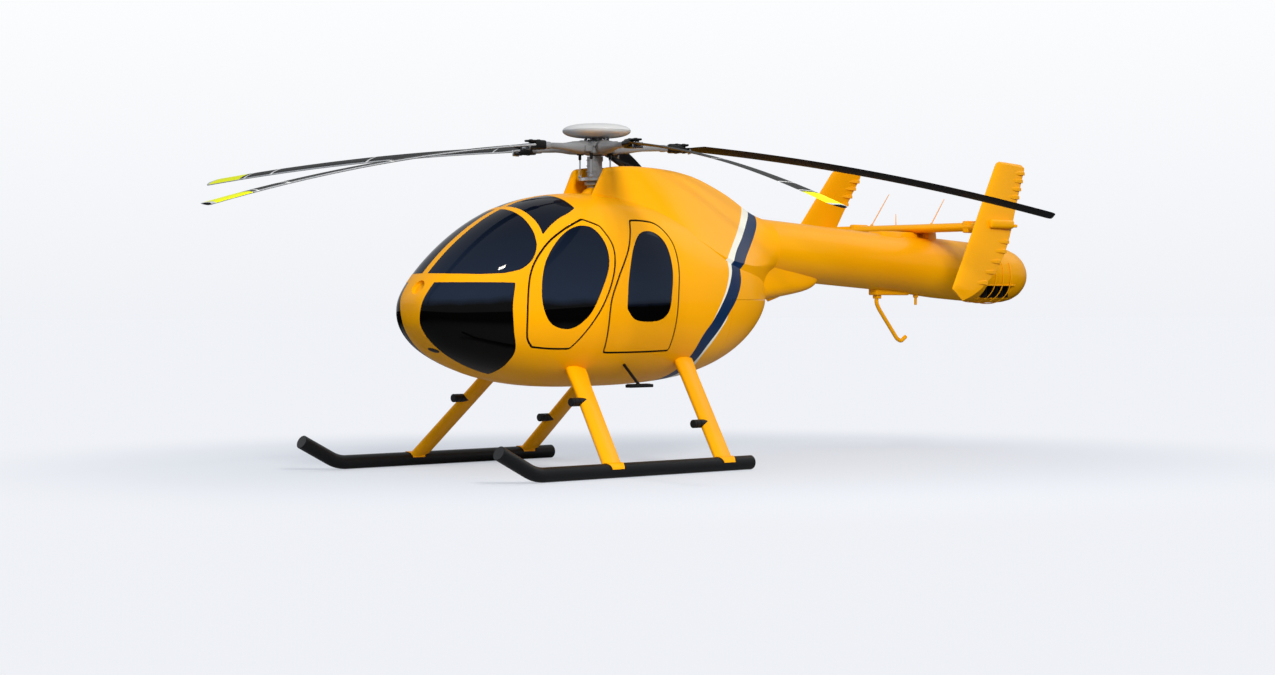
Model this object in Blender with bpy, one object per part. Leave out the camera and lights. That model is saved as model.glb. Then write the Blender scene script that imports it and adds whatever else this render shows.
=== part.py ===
"""Light helicopter: egg-shaped cabin, five-blade rotor, blown tail boom with twin fins, tall skid gear.

Metres, +Z up, nose towards -Y, port side towards +X. The row's origin is on the ground under the
middle of the overall length. Stations below are measured from the rotor axis, and one empty at the
rotor axis, the datum, carries every piece.
"""

import math

import bmesh
import bpy
from mathutils import Matrix, Vector

# Overall places
DATUM_Y = -0.87
HAIR = 0.0003
DOOR_GAP = 0.006
SIDES = {"left": 1.0, "right": -1.0}

# Fuselage pod: station y, half width, bottom z, widest z, top z
POD_STATIONS = [
    (-2.095, 0.00, 1.36, 1.36, 1.36),
    (-2.06, 0.205, 1.195, 1.35, 1.505),
    (-1.93, 0.345, 1.05, 1.34, 1.66),
    (-1.70, 0.47, 0.92, 1.34, 1.87),
    (-1.30, 0.61, 0.79, 1.35, 2.13),
    (-0.80, 0.70, 0.715, 1.38, 2.305),
    (-0.20, 0.73, 0.70, 1.41, 2.36),
    (0.40, 0.69, 0.715, 1.43, 2.32),
    (1.00, 0.59, 0.79, 1.45, 2.18),
    (1.50, 0.44, 0.96, 1.47, 2.00),
    (1.85, 0.26, 1.19, 1.48, 1.80),
    (2.02, 0.11, 1.37, 1.485, 1.62),
    (2.06, 0.00, 1.485, 1.485, 1.485),
]
POD_POWER_TOP = 2.2
POD_POWER_BOTTOM = 2.25
POD_RINGS = 19
POD_SEGMENTS = 18
WALL = 0.035
GLASS = 0.005
GLASS_INSET = 0.006

# Panel joints of the pod
CABIN_END = 0.42
NOSE_JOINT = -1.375
BELLY_FRONT = -1.36
BELLY_TOP = 0.93
ENGINE_DOOR_FRONT = 1.115
ENGINE_DOOR_TOP = 1.445

# Openings seen from the side: y and z of the points that a smooth line runs through
FRONT_DOOR = [(-1.33, 1.13), (-1.33, 1.52), (-1.265, 1.71), (-1.09, 1.90), (-0.88, 2.03), (-0.63, 2.135),
              (-0.48, 2.07), (-0.425, 1.90), (-0.455, 1.72), (-0.585, 1.44), (-0.74, 1.21), (-0.91, 1.05),
              (-1.09, 1.035), (-1.27, 1.045)]
FRONT_WINDOW = [(-0.73, 2.055), (-0.58, 2.045), (-0.505, 1.94), (-0.50, 1.76), (-0.615, 1.52), (-0.76, 1.30),
                (-0.94, 1.20), (-1.13, 1.25), (-1.21, 1.43), (-1.16, 1.71), (-0.96, 1.94)]
REAR_DOOR = [(-0.11, 2.13), (0.04, 2.13), (0.21, 2.10), (0.32, 1.96), (0.335, 1.76), (0.30, 1.50),
             (0.275, 1.20), (0.27, 1.005), (-0.52, 1.0), (-0.52, 1.41), (-0.435, 1.62), (-0.27, 1.87)]
REAR_WINDOW = [(-0.05, 2.01), (0.12, 2.02), (0.22, 1.94), (0.25, 1.74), (0.22, 1.52), (0.175, 1.34),
               (0.07, 1.27), (-0.24, 1.275), (-0.34, 1.36), (-0.31, 1.61), (-0.20, 1.87)]
WINDSCREEN = [(-1.162, 2.50), (-1.162, 1.905), (-1.373, 1.686), (-2.30, 1.686), (-2.30, 2.50)]
NOSE_WINDOW = [(-1.43, 1.582), (-1.467, 1.394), (-1.447, 1.191), (-1.385, 1.02), (-1.385, 0.93), (-1.39, 0.86),
               (-1.43, 0.826), (-1.75, 0.985), (-1.95, 1.14), (-2.03, 1.235), (-2.06, 1.31), (-2.30, 1.45),
               (-2.30, 1.582)]
ROOF_WINDOW = [(0.032, -1.082), (0.30, -1.072), (0.44, -1.068), (0.492, -1.078), (0.468, -0.979), (0.441, -0.845),
               (0.424, -0.734), (0.391, -0.624), (0.30, -0.63), (0.032, -0.645)]
POST_HALF = 0.032
KEEL_HALF = 0.11
DOOR_PLANE_X = 0.62
DOOR_DRAFT = 0.25

# Door hinges: axis x and y, and the heights of its two knuckle sets
FRONT_HINGE = (0.603, -1.3265, (1.22, 1.46))
REAR_HINGE = (0.734, -0.529, (1.16, 1.36))
ENGINE_HINGE = (0.575, 1.115, (1.25, 1.39))
KNUCKLE_RADIUS = 0.009
KNUCKLE_LENGTH = 0.030
KNUCKLE_GAP = 0.0005
HINGE_ARM = 0.045
HINGE_DEPTH = 0.060

# Rotor
ROTOR_RADIUS = 4.17
BLADE_COUNT = 5
FIRST_BLADE_DEG = 270.0
HUB_Z = 2.76
HUB_RADIUS = 0.125
HUB_HEIGHT = 0.13
ARM_END = 0.62
ARM_RADIUS = 0.045
GRIP_LENGTH = 0.17
BLADE_CHORD = 0.171
BLADE_THICKNESS = 0.021
TRAILING_EDGE = 0.003
# Each blade: drop at the tip from its slope, drop from its bend, pitch and lead in degrees
BLADE_SET = [(0.30, 0.30, -2.0, 2.7), (0.33, 0.33, -8.0, 0.0), (0.29, 0.29, -14.0, 4.0), (0.22, 0.26, -10.0, 1.5),
             (0.0, 0.21, -22.0, 0.0)]
LEAD_PIN = 0.745
CAP_RADIUS = 0.297
CAP_Z = 2.907
CAP_HALF_HEIGHT = 0.062
MAST_RADIUS = 0.048
MAST_FOOT_RADIUS = 0.12
SWASH_Z = 2.47
SWASH_RADIUS = 0.155
SWASH_THICKNESS = 0.028
LINK_RADIUS = 0.007
LINK_CIRCLE = 0.145

# Rotor fairing: station y, top half width, top z, foot half width, foot z, share of round boom section
FAIRING_STATIONS = [
    (-0.087, 0.215, 2.578, 0.190, 2.37, 0.0),
    (-0.05, 0.218, 2.585, 0.225, 2.34, 0.0),
    (0.10, 0.213, 2.600, 0.262, 2.30, 0.0),
    (0.45, 0.190, 2.605, 0.440, 2.10, 0.0),
    (0.75, 0.165, 2.590, 0.510, 1.97, 0.0),
    (1.05, 0.138, 2.550, 0.520, 1.83, 0.0),
    (1.35, 0.110, 2.480, 0.480, 1.76, 0.05),
    (1.65, 0.100, 2.390, 0.400, 1.70, 0.25),
    (1.90, 0.095, 2.290, 0.330, 1.66, 0.65),
    (2.05, 0.090, 2.230, 0.300, 1.65, 1.0),
]
FAIRING_DEPTH = 0.45
FAIRING_CORNER = 0.07
LIP_RAKE = 0.62
WELL_RADIUS = 0.178
WELL_CENTRE_Y = 0.20

# Tail boom
BOOM_START = 2.05
BOOM_END = 4.99
BOOM_Z_AT_START = 1.922
BOOM_SLOPE = -0.062
BOOM_RADIUS = 0.272
BOOM_AFT_START = 4.10
BOOM_AFT_RADIUS = 0.295
BOOM_SEGMENTS = 18
SPIGOT_RADIUS = 0.262
SPIGOT_LENGTH = 0.06
THRUSTER_END = 5.90
THRUSTER_WALL = 0.022
SLOT_Y = (5.11, 5.53)
SLOT_Z = (1.478, 1.589)

# Tail surfaces
TAILPLANE_Z = 2.148
TAILPLANE_FRONT = 4.185
TAILPLANE_ROOT_CHORD = 0.36
TAILPLANE_TIP_CHORD = 0.21
TAILPLANE_THICKNESS = 0.085
# Pads under the tailplane: front and back y, half width, top z
SADDLES = [(3.70, 3.98, 0.11, 2.112), (3.97, 4.30, 0.05, 2.112), (4.37, 4.52, 0.10, 2.148)]
FIN_X = 1.124
FIN_THICKNESS = 0.05
FIN_OUTLINE = [(3.372, 1.545), (3.506, 1.435), (3.705, 1.50), (4.221, 1.865), (4.549, 2.449), (4.693, 2.70),
               (4.647, 2.745), (4.305, 2.765), (4.251, 2.735)]
FIN_CANT = 0.15

# Landing gear
SKID_X = 1.258
SKID_RADIUS = 0.061
SKID_BEND_Y = -1.858
SKID_AFT_Y = 0.606
SKID_TOE = (-2.24, 0.251)
LEGS = {"front": (-0.71, 0.86, -1.01), "rear": (0.56, 0.93, 0.285)}
LEG_TOP_X = 0.46
LEG_CHORD = 0.175
LEG_THICKNESS = 0.062
PEGS = {"front": 0.60, "rear": 0.39}
PEG_RADIUS = 0.036
PEG_LENGTH = 0.16

# Cabin inside
FLOOR_Z = 0.955
FLOOR_THICKNESS = 0.025
BULKHEAD_Y = 0.385
BULKHEAD_THICKNESS = 0.025
SEAT_X = 0.32
SEAT_WIDTH = 0.46


def clear_scene():
    """Starts from an empty scene."""
    for old in list(bpy.data.objects):
        bpy.data.objects.remove(old, do_unlink=True)


def material(name, colour, roughness, metallic=0.0):
    """One plain finish."""
    made = bpy.data.materials.new(name)
    made.use_nodes = True
    shader = made.node_tree.nodes["Principled BSDF"]
    shader.inputs["Base Color"].default_value = (*colour, 1.0)
    shader.inputs["Roughness"].default_value = roughness
    shader.inputs["Metallic"].default_value = metallic
    return made


def add_object(name, mesh, finish=None, parent=None, location=(0, 0, 0)):
    """Puts a mesh in the scene under the datum or under a hinge empty."""
    made = bpy.data.objects.new(name, mesh)
    bpy.context.scene.collection.objects.link(made)
    made.parent = parent if parent else DATUM
    made.location = location
    if finish:
        made.data.materials.append(finish)
    return made


def add_pivot(name, location):
    """An empty on a joint's axis."""
    pivot = bpy.data.objects.new(name, None)
    bpy.context.scene.collection.objects.link(pivot)
    pivot.parent = DATUM
    pivot.location = location
    return pivot


def add_cutter(name, mesh):
    """A guide body that only cuts others."""
    cutter = add_object(name, mesh)
    cutter.hide_render = True
    cutter.display_type = "WIRE"
    return cutter


def boolean(target, cutter, operation):
    """Adds an exact Boolean with a guide body."""
    step = target.modifiers.new(cutter.name, "BOOLEAN")
    step.operation = operation
    step.solver = "EXACT"
    step.object = cutter
    return step


def shifted(mesh, offset):
    """Moves a mesh, for a piece whose parent is not the datum."""
    mesh.transform(Matrix.Translation(offset))
    return mesh


def finish_bmesh(bm, name):
    """Makes all faces triangles that point outwards, and stores the mesh."""
    bmesh.ops.remove_doubles(bm, verts=bm.verts, dist=1e-6)
    bmesh.ops.recalc_face_normals(bm, faces=bm.faces)
    bmesh.ops.triangulate(bm, faces=bm.faces)
    mesh = bpy.data.meshes.new(name)
    bm.to_mesh(mesh)
    bm.free()
    return mesh


def loft_mesh(name, rings):
    """Skins rings of points into one closed body. A ring of one point is a pole."""
    bm = bmesh.new()
    rows = [[bm.verts.new(point) for point in ring] for ring in rings]
    for first, second in zip(rows, rows[1:]):
        count = max(len(first), len(second))
        for i in range(count):
            j = (i + 1) % count
            corners = []
            for row, k in ((first, i), (first, j), (second, j), (second, i)):
                vert = row[k % len(row)]
                if vert not in corners:
                    corners.append(vert)
            bm.faces.new(corners)
    for row in (rows[0], rows[-1]):
        if len(row) > 2:
            bm.faces.new(row)
    return finish_bmesh(bm, name)


def box_mesh(name, low, high):
    """A box between two corners."""
    bm = bmesh.new()
    bmesh.ops.create_cube(bm, size=1.0)
    for vert in bm.verts:
        for axis in range(3):
            vert.co[axis] = high[axis] if vert.co[axis] > 0 else low[axis]
    return finish_bmesh(bm, name)


def cylinder_mesh(name, start, end, radius, segments, end_radius=None):
    """A round rod between two points, tapered if asked."""
    start = Vector(start)
    end = Vector(end)
    along = (end - start).normalized()
    side = along.orthogonal().normalized()
    if abs(along.x) < 0.99:
        side = along.cross(Vector((1, 0, 0))).normalized()
    up = along.cross(side)
    rings = []
    for centre, size in ((start, radius), (end, radius if end_radius is None else end_radius)):
        ring = []
        for k in range(segments):
            angle = 2 * math.pi * (k + 0.5) / segments
            ring.append(centre + side * (size * math.cos(angle)) + up * (size * math.sin(angle)))
        rings.append(ring)
    return loft_mesh(name, rings)


def turned_mesh(name, profile, segments, centre=(0, 0), turn=0.0):
    """A body turned about a vertical axis from (radius, z) points. Radius 0 is a pole."""
    rings = []
    for radius, z in profile:
        if radius == 0:
            rings.append([Vector((centre[0], centre[1], z))])
            continue
        ring = []
        for k in range(segments):
            angle = turn + 2 * math.pi * k / segments
            x = centre[0] + radius * math.cos(angle)
            ring.append(Vector((x, centre[1] + radius * math.sin(angle), z)))
        rings.append(ring)
    return loft_mesh(name, rings)


def swept_mesh(name, path, radius, segments):
    """A round tube along a bent line, mitred at its bends."""
    points = [Vector(p) for p in path]
    rings = []
    for i, point in enumerate(points):
        before = (point - points[i - 1]).normalized() if i else None
        after = (points[i + 1] - point).normalized() if i + 1 < len(points) else None
        along = before or after
        if before and after:
            along = (before + after).normalized()
        side = Vector((1, 0, 0))
        if abs(along.x) > 0.9:
            side = Vector((0, 1, 0))
        up = side.cross(along).normalized()
        side = along.cross(up).normalized()
        stretch = 1.0
        if before and after:
            stretch = 1.0 / math.cos(before.angle(after) / 2)
        ring = []
        for k in range(segments):
            angle = 2 * math.pi * (k + 0.5) / segments
            ring.append(point + side * (radius * math.cos(angle)) + up * (radius * stretch * math.sin(angle)))
        rings.append(ring)
    return loft_mesh(name, rings)


def outline_area(points):
    """Signed area of a closed outline."""
    total = 0.0
    for i, point in enumerate(points):
        following = points[(i + 1) % len(points)]
        total += point[0] * following[1] - following[0] * point[1]
    return total / 2


def offset_outline(points, distance):
    """Grows a closed outline by a distance, or shrinks it if the distance is negative."""
    turn = 1.0 if outline_area(points) > 0 else -1.0
    out = []
    for i, point in enumerate(points):
        before = (point - points[i - 1]).normalized()
        after = (points[(i + 1) % len(points)] - point).normalized()
        first = Vector((before.y, -before.x)) * turn
        second = Vector((after.y, -after.x)) * turn
        normal = (first + second).normalized()
        out.append(point + normal * (distance / max(normal.dot(first), 0.5)))
    return out


def side_prism(name, outline, sign, low_x, high_x, draft=0.0):
    """A side view outline (y, z) carried across in x. Draft widens it outwards from the door plane."""
    centre = sum(outline, Vector((0, 0))) / len(outline)
    rings = []
    for x in (low_x, high_x):
        scale = 1.0 + draft * (x - DOOR_PLANE_X)
        rings.append([Vector((sign * x, *(centre + (point - centre) * scale))) for point in outline])
    return loft_mesh(name, rings)


def plan_prism(name, outline, sign, low_z, high_z):
    """A plan view outline (x, y) carried up in z."""
    rings = []
    for z in (low_z, high_z):
        rings.append([Vector((sign * point[0], point[1], z)) for point in outline])
    return loft_mesh(name, rings)


def pod_sections(count):
    """Pod sections at even steps of a smooth curve through the stations."""
    stations = [list(s) for s in POD_STATIONS]
    times = [0.0]
    for first, second in zip(stations, stations[1:]):
        gap = math.sqrt(sum((a - b) ** 2 for a, b in zip(first, second)))
        times.append(times[-1] + math.sqrt(gap))
    last = len(stations) - 1

    def slope(j):
        if j in (0, last):
            a, b = (0, 1) if j == 0 else (last - 1, last)
            rise = [(q - p) / (times[b] - times[a]) * 1.3 for p, q in zip(stations[a], stations[b])]
            rise[0] = 0.0
            return rise
        before = times[j] - times[j - 1]
        after = times[j + 1] - times[j]
        rise = []
        for p, q, r in zip(stations[j - 1], stations[j], stations[j + 1]):
            rise.append(((q - p) / before * after + (r - q) / after * before) / (before + after))
        return rise

    slopes = [slope(j) for j in range(last + 1)]
    sections = []
    for k in range(count):
        t = times[-1] * k / (count - 1)
        i = max(j for j in range(last) if times[j] <= t + 1e-9)
        h = times[i + 1] - times[i]
        u = (t - times[i]) / h
        section = []
        for p, q, a, b in zip(stations[i], stations[i + 1], slopes[i], slopes[i + 1]):
            section.append((2 * u**3 - 3 * u**2 + 1) * p + (u**3 - 2 * u**2 + u) * h * a
                           + (3 * u**2 - 2 * u**3) * q + (u**3 - u**2) * h * b)
        sections.append(section)
    return sections


def pod_mesh(name, grow=0.0):
    """The pod's closed skin, grown or shrunk along its normals."""
    rings = []
    for y, half, bottom, middle, top in pod_sections(POD_RINGS):
        if half < 1e-6:
            rings.append([Vector((0, y, middle))])
            continue
        ring = []
        for k in range(POD_SEGMENTS):
            angle = 2 * math.pi * (k + 0.5) / POD_SEGMENTS
            c = math.cos(angle)
            s = math.sin(angle)
            power = POD_POWER_TOP if s >= 0 else POD_POWER_BOTTOM
            reach = top - middle if s >= 0 else middle - bottom
            x = half * math.copysign(abs(c) ** (2 / power), c)
            z = middle + reach * math.copysign(abs(s) ** (2 / power), s)
            ring.append(Vector((x, y, z)))
        rings.append(ring)
    mesh = loft_mesh(name, rings)
    if grow:
        normals = [vert.normal.copy() for vert in mesh.vertices]
        for vert, normal in zip(mesh.vertices, normals):
            vert.co += normal * grow
    return mesh


def pod_shell(name, finish, inset=0.0, thickness=WALL, parent=None, offset=(0, 0, 0)):
    """A wall of the pod: its skin given thickness inwards."""
    mesh = shifted(pod_mesh(name, -inset), offset)
    shell = add_object(name, mesh, finish, parent)
    wall = shell.modifiers.new("wall", "SOLIDIFY")
    wall.thickness = thickness
    wall.offset = -1.0
    return shell


def boom_z(y):
    """Height of the boom's axis at a station."""
    return BOOM_Z_AT_START + BOOM_SLOPE * (y - BOOM_START)


def boom_ring(y, radius, upright=False, turn=0.5):
    """One round section of the boom, square to its axis or upright, turned by a share of a segment."""
    ring = []
    tilt = 0.0 if upright else math.atan(BOOM_SLOPE)
    for k in range(BOOM_SEGMENTS):
        angle = 2 * math.pi * (k + turn) / BOOM_SEGMENTS
        up = radius * math.sin(angle)
        z = boom_z(y) + up * math.cos(tilt)
        ring.append(Vector((radius * math.cos(angle), y - up * math.sin(tilt), z)))
    return ring


def fairing_ring(y, top_half, top, foot_half, foot, share, rake):
    """A fairing section: flat slanted sides, rounded top corners, blended to the boom's round."""
    points = []
    side = Vector((foot_half - top_half, foot - top))
    unit = side.normalized()
    corner = Vector((top_half, top))
    sweep = 3
    start = corner + Vector((-FAIRING_CORNER * 0.6, 0))
    end = corner + unit * FAIRING_CORNER
    arc = []
    for k in range(sweep + 1):
        u = k / sweep
        arc.append((1 - u) ** 2 * start + 2 * u * (1 - u) * corner + u**2 * end)
    half = [Vector((0, top))] + arc + [corner + side * 0.55, Vector((foot_half, foot))]
    base = foot - FAIRING_DEPTH * (1 - share)
    half += [Vector((foot_half * 0.8, base)), Vector((0, base))]
    count = len(half)
    for i, point in enumerate(half):
        angle = math.pi / 2 - math.pi * i / (count - 1)
        round_point = Vector((BOOM_RADIUS * math.cos(angle), boom_z(y) + BOOM_RADIUS * math.sin(angle)))
        points.append(point * (1 - share) + round_point * share)
    ring = [Vector((p.x, y + rake * (p.y - top), p.y)) for p in points]
    ring += [Vector((-p.x, y + rake * (p.y - top), p.y)) for p in reversed(points[1:-1])]
    return ring


def airfoil(chord, thickness, count=4):
    """Section points of a wing: (along chord from the nose, height)."""
    upper = []
    for k in range(count + 1):
        u = (1 - math.cos(math.pi * k / count)) / 2
        shape = 0.2969 * math.sqrt(u) - 0.126 * u - 0.3516 * u**2 + 0.2843 * u**3 - 0.1015 * u**4
        upper.append((chord * u, 5.0 * thickness * shape))
    lower = [(x, -z) for x, z in reversed(upper[1:-1])]
    tail = upper[-1]
    upper[-1] = (tail[0], TRAILING_EDGE / 2)
    return upper + [(tail[0], -TRAILING_EDGE / 2)] + lower


def blade_mesh(name, slope_drop, bend_drop, pitch_deg, lead_deg):
    """A blade along +X, drooping to the tip, its nose towards +Y, turned about its lead pin."""
    lead = math.radians(lead_deg)
    pitch = math.radians(pitch_deg)
    start = ARM_END + GRIP_LENGTH * 0.55
    stations = [0.0, 0.06, 0.30, 0.52, 0.74, 0.985, 1.0]
    rings = []
    for share in stations:
        r = start + (ROTOR_RADIUS - start) * share
        drop = slope_drop * share + bend_drop * share**2
        root = min(share / 0.06, 1.0)
        chord = BLADE_CHORD * (0.55 + 0.45 * root)
        if share == 1.0:
            chord = BLADE_CHORD * 0.72
        thickness = BLADE_THICKNESS * (1.5 - 0.5 * root)
        tilt = pitch * root
        ring = []
        for x, z in airfoil(chord, thickness):
            forward = 0.25 * BLADE_CHORD - x
            side = forward * math.cos(tilt) - z * math.sin(tilt)
            out = r - LEAD_PIN
            ring.append(Vector((LEAD_PIN + out * math.cos(lead) - side * math.sin(lead),
                                out * math.sin(lead) + side * math.cos(lead),
                                HUB_Z - drop + forward * math.sin(tilt) + z * math.cos(tilt))))
        rings.append(ring)
    return loft_mesh(name, rings)


def build_pod_panels():
    """Nose frame, cabin shell, belly, aft fuselage, doors, glass and engine doors."""
    outlines = {
        "front_door": [Vector(p) for p in FRONT_DOOR],
        "rear_door": [Vector(p) for p in REAR_DOOR],
        "front_window": [Vector(p) for p in FRONT_WINDOW],
        "rear_window": [Vector(p) for p in REAR_WINDOW],
        "windscreen": [Vector(p) for p in WINDSCREEN],
        "nose_window": [Vector(p) for p in NOSE_WINDOW],
        "roof_window": [Vector(p) for p in ROOF_WINDOW],
    }
    nose_body = add_cutter("cut_nose", box_mesh("cut_nose", (-2, -3, 0), (2, NOSE_JOINT - HAIR, 3)))
    middle = add_cutter("cut_cabin", box_mesh("cut_cabin", (-2, NOSE_JOINT, 0), (2, CABIN_END, 3)))
    belly = add_cutter("cut_belly", box_mesh("cut_belly", (-2, BELLY_FRONT, 0), (2, 3, BELLY_TOP)))
    belly_body = add_cutter("cut_belly_body", box_mesh("cut_belly_body", (-2, BELLY_FRONT + HAIR, 0),
                                                       (2, CABIN_END, BELLY_TOP - HAIR)))
    aft = add_cutter("cut_aft", box_mesh("cut_aft", (-2, CABIN_END + HAIR, 0), (2, 3, 3)))
    half_gap = DOOR_GAP / 2
    engine_bay = add_cutter("cut_engine_bay", box_mesh(
        "cut_engine_bay", (-2, ENGINE_DOOR_FRONT - half_gap, 0), (2, 3, ENGINE_DOOR_TOP + half_gap)))

    nose = pod_shell("nose_frame", YELLOW)
    boolean(nose, nose_body, "INTERSECT")
    shell = pod_shell("cabin_shell", YELLOW)
    boolean(shell, middle, "INTERSECT")
    boolean(shell, belly, "DIFFERENCE")
    pan = pod_shell("belly_pan", YELLOW)
    boolean(pan, belly_body, "INTERSECT")
    tail = pod_shell("aft_fuselage", YELLOW)
    boolean(tail, aft, "INTERSECT")
    boolean(tail, engine_bay, "DIFFERENCE")

    for side, sign in SIDES.items():
        for kind, hinge in (("front", FRONT_HINGE), ("rear", REAR_HINGE)):
            build_cabin_door(kind, side, sign, outlines, hinge, shell)
        build_panes(side, sign, outlines, shell, nose)
        build_engine_door(side, sign, tail)


def hinge_arms(sign, hinge, name):
    """Hinge halves, each a knuckle on its arm: those of the moving panel, and those of the fixed frame."""
    axis_x, axis_y, heights = hinge
    r = KNUCKLE_RADIUS
    outline = [(-HINGE_DEPTH, 0.4 * r), (-0.7 * r, 0.4 * r), (-0.7 * r, -0.7 * r), (0.3 * r, -r),
               (r, 0), (0.3 * r, r), (0.3 * r, HINGE_ARM), (-HINGE_DEPTH, HINGE_ARM)]
    moving = []
    fixed = []
    for n, z in enumerate(heights):
        for low, high, way, group in ((z + KNUCKLE_GAP, z + KNUCKLE_LENGTH, 1.0, moving),
                                      (z - KNUCKLE_LENGTH, z, -1.0, fixed)):
            label = f"guide_{name}_{n}_{'door' if way > 0 else 'frame'}"
            plan = [(axis_x + x, axis_y + way * y) for x, y in outline]
            group.append(add_cutter(label, plan_prism(label, [Vector(p) for p in plan], sign, low, high)))
    return moving, fixed


def build_cabin_door(kind, side, sign, outlines, hinge, shell):
    """One cabin door with its glass, hinged along its front edge."""
    name = f"{kind}_door_{side}"
    outline = outlines[f"{kind}_door"]
    window = outlines[f"{kind}_window"]
    half_gap = DOOR_GAP / 2
    hole = add_cutter(f"cut_{name}", side_prism(f"cut_{name}", offset_outline(outline, half_gap), sign, 0.25,
                                                0.95, DOOR_DRAFT))
    body = add_cutter(f"body_{name}", side_prism(f"body_{name}", offset_outline(outline, -half_gap), sign,
                                                 0.2, 1.0, DOOR_DRAFT))
    light = add_cutter(f"cut_{name}_window", side_prism(f"cut_{name}_window", window, sign, 0.2, 1.0))
    pane = add_cutter(f"body_{name}_glass", side_prism(f"body_{name}_glass", offset_outline(window, -HAIR),
                                                       sign, 0.2, 1.0))
    boolean(shell, hole, "DIFFERENCE")
    pivot = add_pivot(f"{name}_hinge", (sign * hinge[0], hinge[1], 0))
    back = (-sign * hinge[0], -hinge[1], 0)
    door = pod_shell(name, YELLOW, parent=pivot, offset=back)
    boolean(door, body, "INTERSECT")
    boolean(door, light, "DIFFERENCE")
    glass = pod_shell(f"{kind}_door_glass_{side}", GLASS_DARK, GLASS_INSET, GLASS, pivot, back)
    boolean(glass, pane, "INTERSECT")
    moving, fixed = hinge_arms(sign, hinge, name)
    for arm in moving:
        boolean(door, arm, "UNION")
    for arm in fixed:
        boolean(shell, arm, "UNION")


def build_panes(side, sign, outlines, shell, nose):
    """Windscreen, roof window and nose window of one side."""
    for name, low_x in (("windscreen", POST_HALF), ("nose_window", KEEL_HALF)):
        outline = outlines[name]
        hole = add_cutter(f"cut_{name}_{side}", side_prism(f"cut_{name}_{side}", outline, sign, low_x, 1.2))
        fit = offset_outline(outline, -HAIR)
        label = f"body_{name}_{side}"
        body = add_cutter(label, side_prism(label, fit, sign, low_x + HAIR, 1.2))
        boolean(shell, hole, "DIFFERENCE")
        boolean(nose, hole, "DIFFERENCE")
        pane = pod_shell(f"{name}_{side}", GLASS_DARK, GLASS_INSET, GLASS)
        boolean(pane, body, "INTERSECT")
    outline = outlines["roof_window"]
    hole = add_cutter(f"cut_roof_{side}", plan_prism(f"cut_roof_{side}", outline, sign, 1.80, 2.6))
    fit = offset_outline(outline, -HAIR)
    body = add_cutter(f"body_roof_{side}", plan_prism(f"body_roof_{side}", fit, sign, 1.80, 2.6))
    boolean(shell, hole, "DIFFERENCE")
    pane = pod_shell(f"roof_window_{side}", GLASS_DARK, GLASS_INSET, GLASS)
    boolean(pane, body, "INTERSECT")


def build_engine_door(side, sign, tail):
    """One clamshell door of the engine bay."""
    name = f"engine_door_{side}"
    half_gap = DOOR_GAP / 2
    inner = sign * half_gap
    outer = sign * 2.0
    low = (min(inner, outer), ENGINE_DOOR_FRONT + half_gap, 0)
    high = (max(inner, outer), 3, ENGINE_DOOR_TOP - half_gap)
    body = add_cutter(f"body_{name}", box_mesh(f"body_{name}", low, high))
    pivot = add_pivot(f"{name}_hinge", (sign * ENGINE_HINGE[0], ENGINE_HINGE[1], 0))
    back = (-sign * ENGINE_HINGE[0], -ENGINE_HINGE[1], 0)
    door = pod_shell(name, YELLOW, parent=pivot, offset=back)
    boolean(door, body, "INTERSECT")
    moving, fixed = hinge_arms(sign, ENGINE_HINGE, name)
    for arm in moving:
        boolean(door, arm, "UNION")
    for arm in fixed:
        boolean(tail, arm, "UNION")


def build_interior():
    """Floor, bulkhead, control tunnel, console, seats and the engine block."""
    lining = add_cutter("guide_lining", pod_mesh("guide_lining", -WALL - 2 * HAIR))
    floor = add_object("cabin_floor", box_mesh("cabin_floor", (-1, -1.62, FLOOR_Z - FLOOR_THICKNESS),
                                               (1, BULKHEAD_Y - HAIR, FLOOR_Z)), GREY_DARK)
    boolean(floor, lining, "INTERSECT")
    wall = add_object("cabin_bulkhead", box_mesh("cabin_bulkhead", (-1, BULKHEAD_Y, 0.5),
                                                 (1, BULKHEAD_Y + BULKHEAD_THICKNESS, 2.6)), GREY_DARK)
    boolean(wall, lining, "INTERSECT")
    top = FLOOR_Z + HAIR
    tunnel = add_object("control_tunnel", box_mesh("control_tunnel", (-0.085, -0.235, top),
                                                   (0.085, -0.115, 2.6)), GREY_DARK)
    boolean(tunnel, lining, "INTERSECT")
    pedestal = box_mesh("guide_pedestal", (-0.13, -1.50, top), (0.13, -1.22, 1.40))
    pedestal = add_cutter("guide_pedestal", pedestal)
    console = add_object("instrument_console", box_mesh("instrument_console", (-0.25, -1.50, 1.30),
                                                        (0.25, -1.30, 1.56)), GREY_DARK)
    boolean(console, pedestal, "UNION")
    for side, sign in SIDES.items():
        add_seat(f"front_seat_{side}", sign * SEAT_X, SEAT_WIDTH, -0.70, -0.24, 1.86, lining)
    add_seat("rear_seat", 0.0, 1.04, -0.10, BULKHEAD_Y - 0.02, 1.80, lining)
    front = BULKHEAD_Y + BULKHEAD_THICKNESS + HAIR
    engine = box_mesh("engine_block", (-0.22, front, 1.02), (0.22, 1.36, 1.50))
    add_object("engine_block", engine, GREY_METAL)


def add_seat(name, centre_x, width, front, back, top, lining):
    """A seat: its box on the floor, its cushion and its back in one padded solid."""
    low = FLOOR_Z + HAIR
    outline = [(front + 0.05, low), (back, low), (back, top - 0.03), (back - 0.03, top), (back - 0.10, top),
               (back - 0.13, top - 0.03), (back - 0.14, 1.27), (front + 0.03, 1.25), (front, 1.22),
               (front, 1.14)]
    rings = []
    for x in (centre_x - width / 2, centre_x + width / 2):
        rings.append([Vector((x, y, z)) for y, z in outline])
    seat = add_object(name, loft_mesh(name, rings), LEATHER)
    boolean(seat, lining, "INTERSECT")


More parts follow.
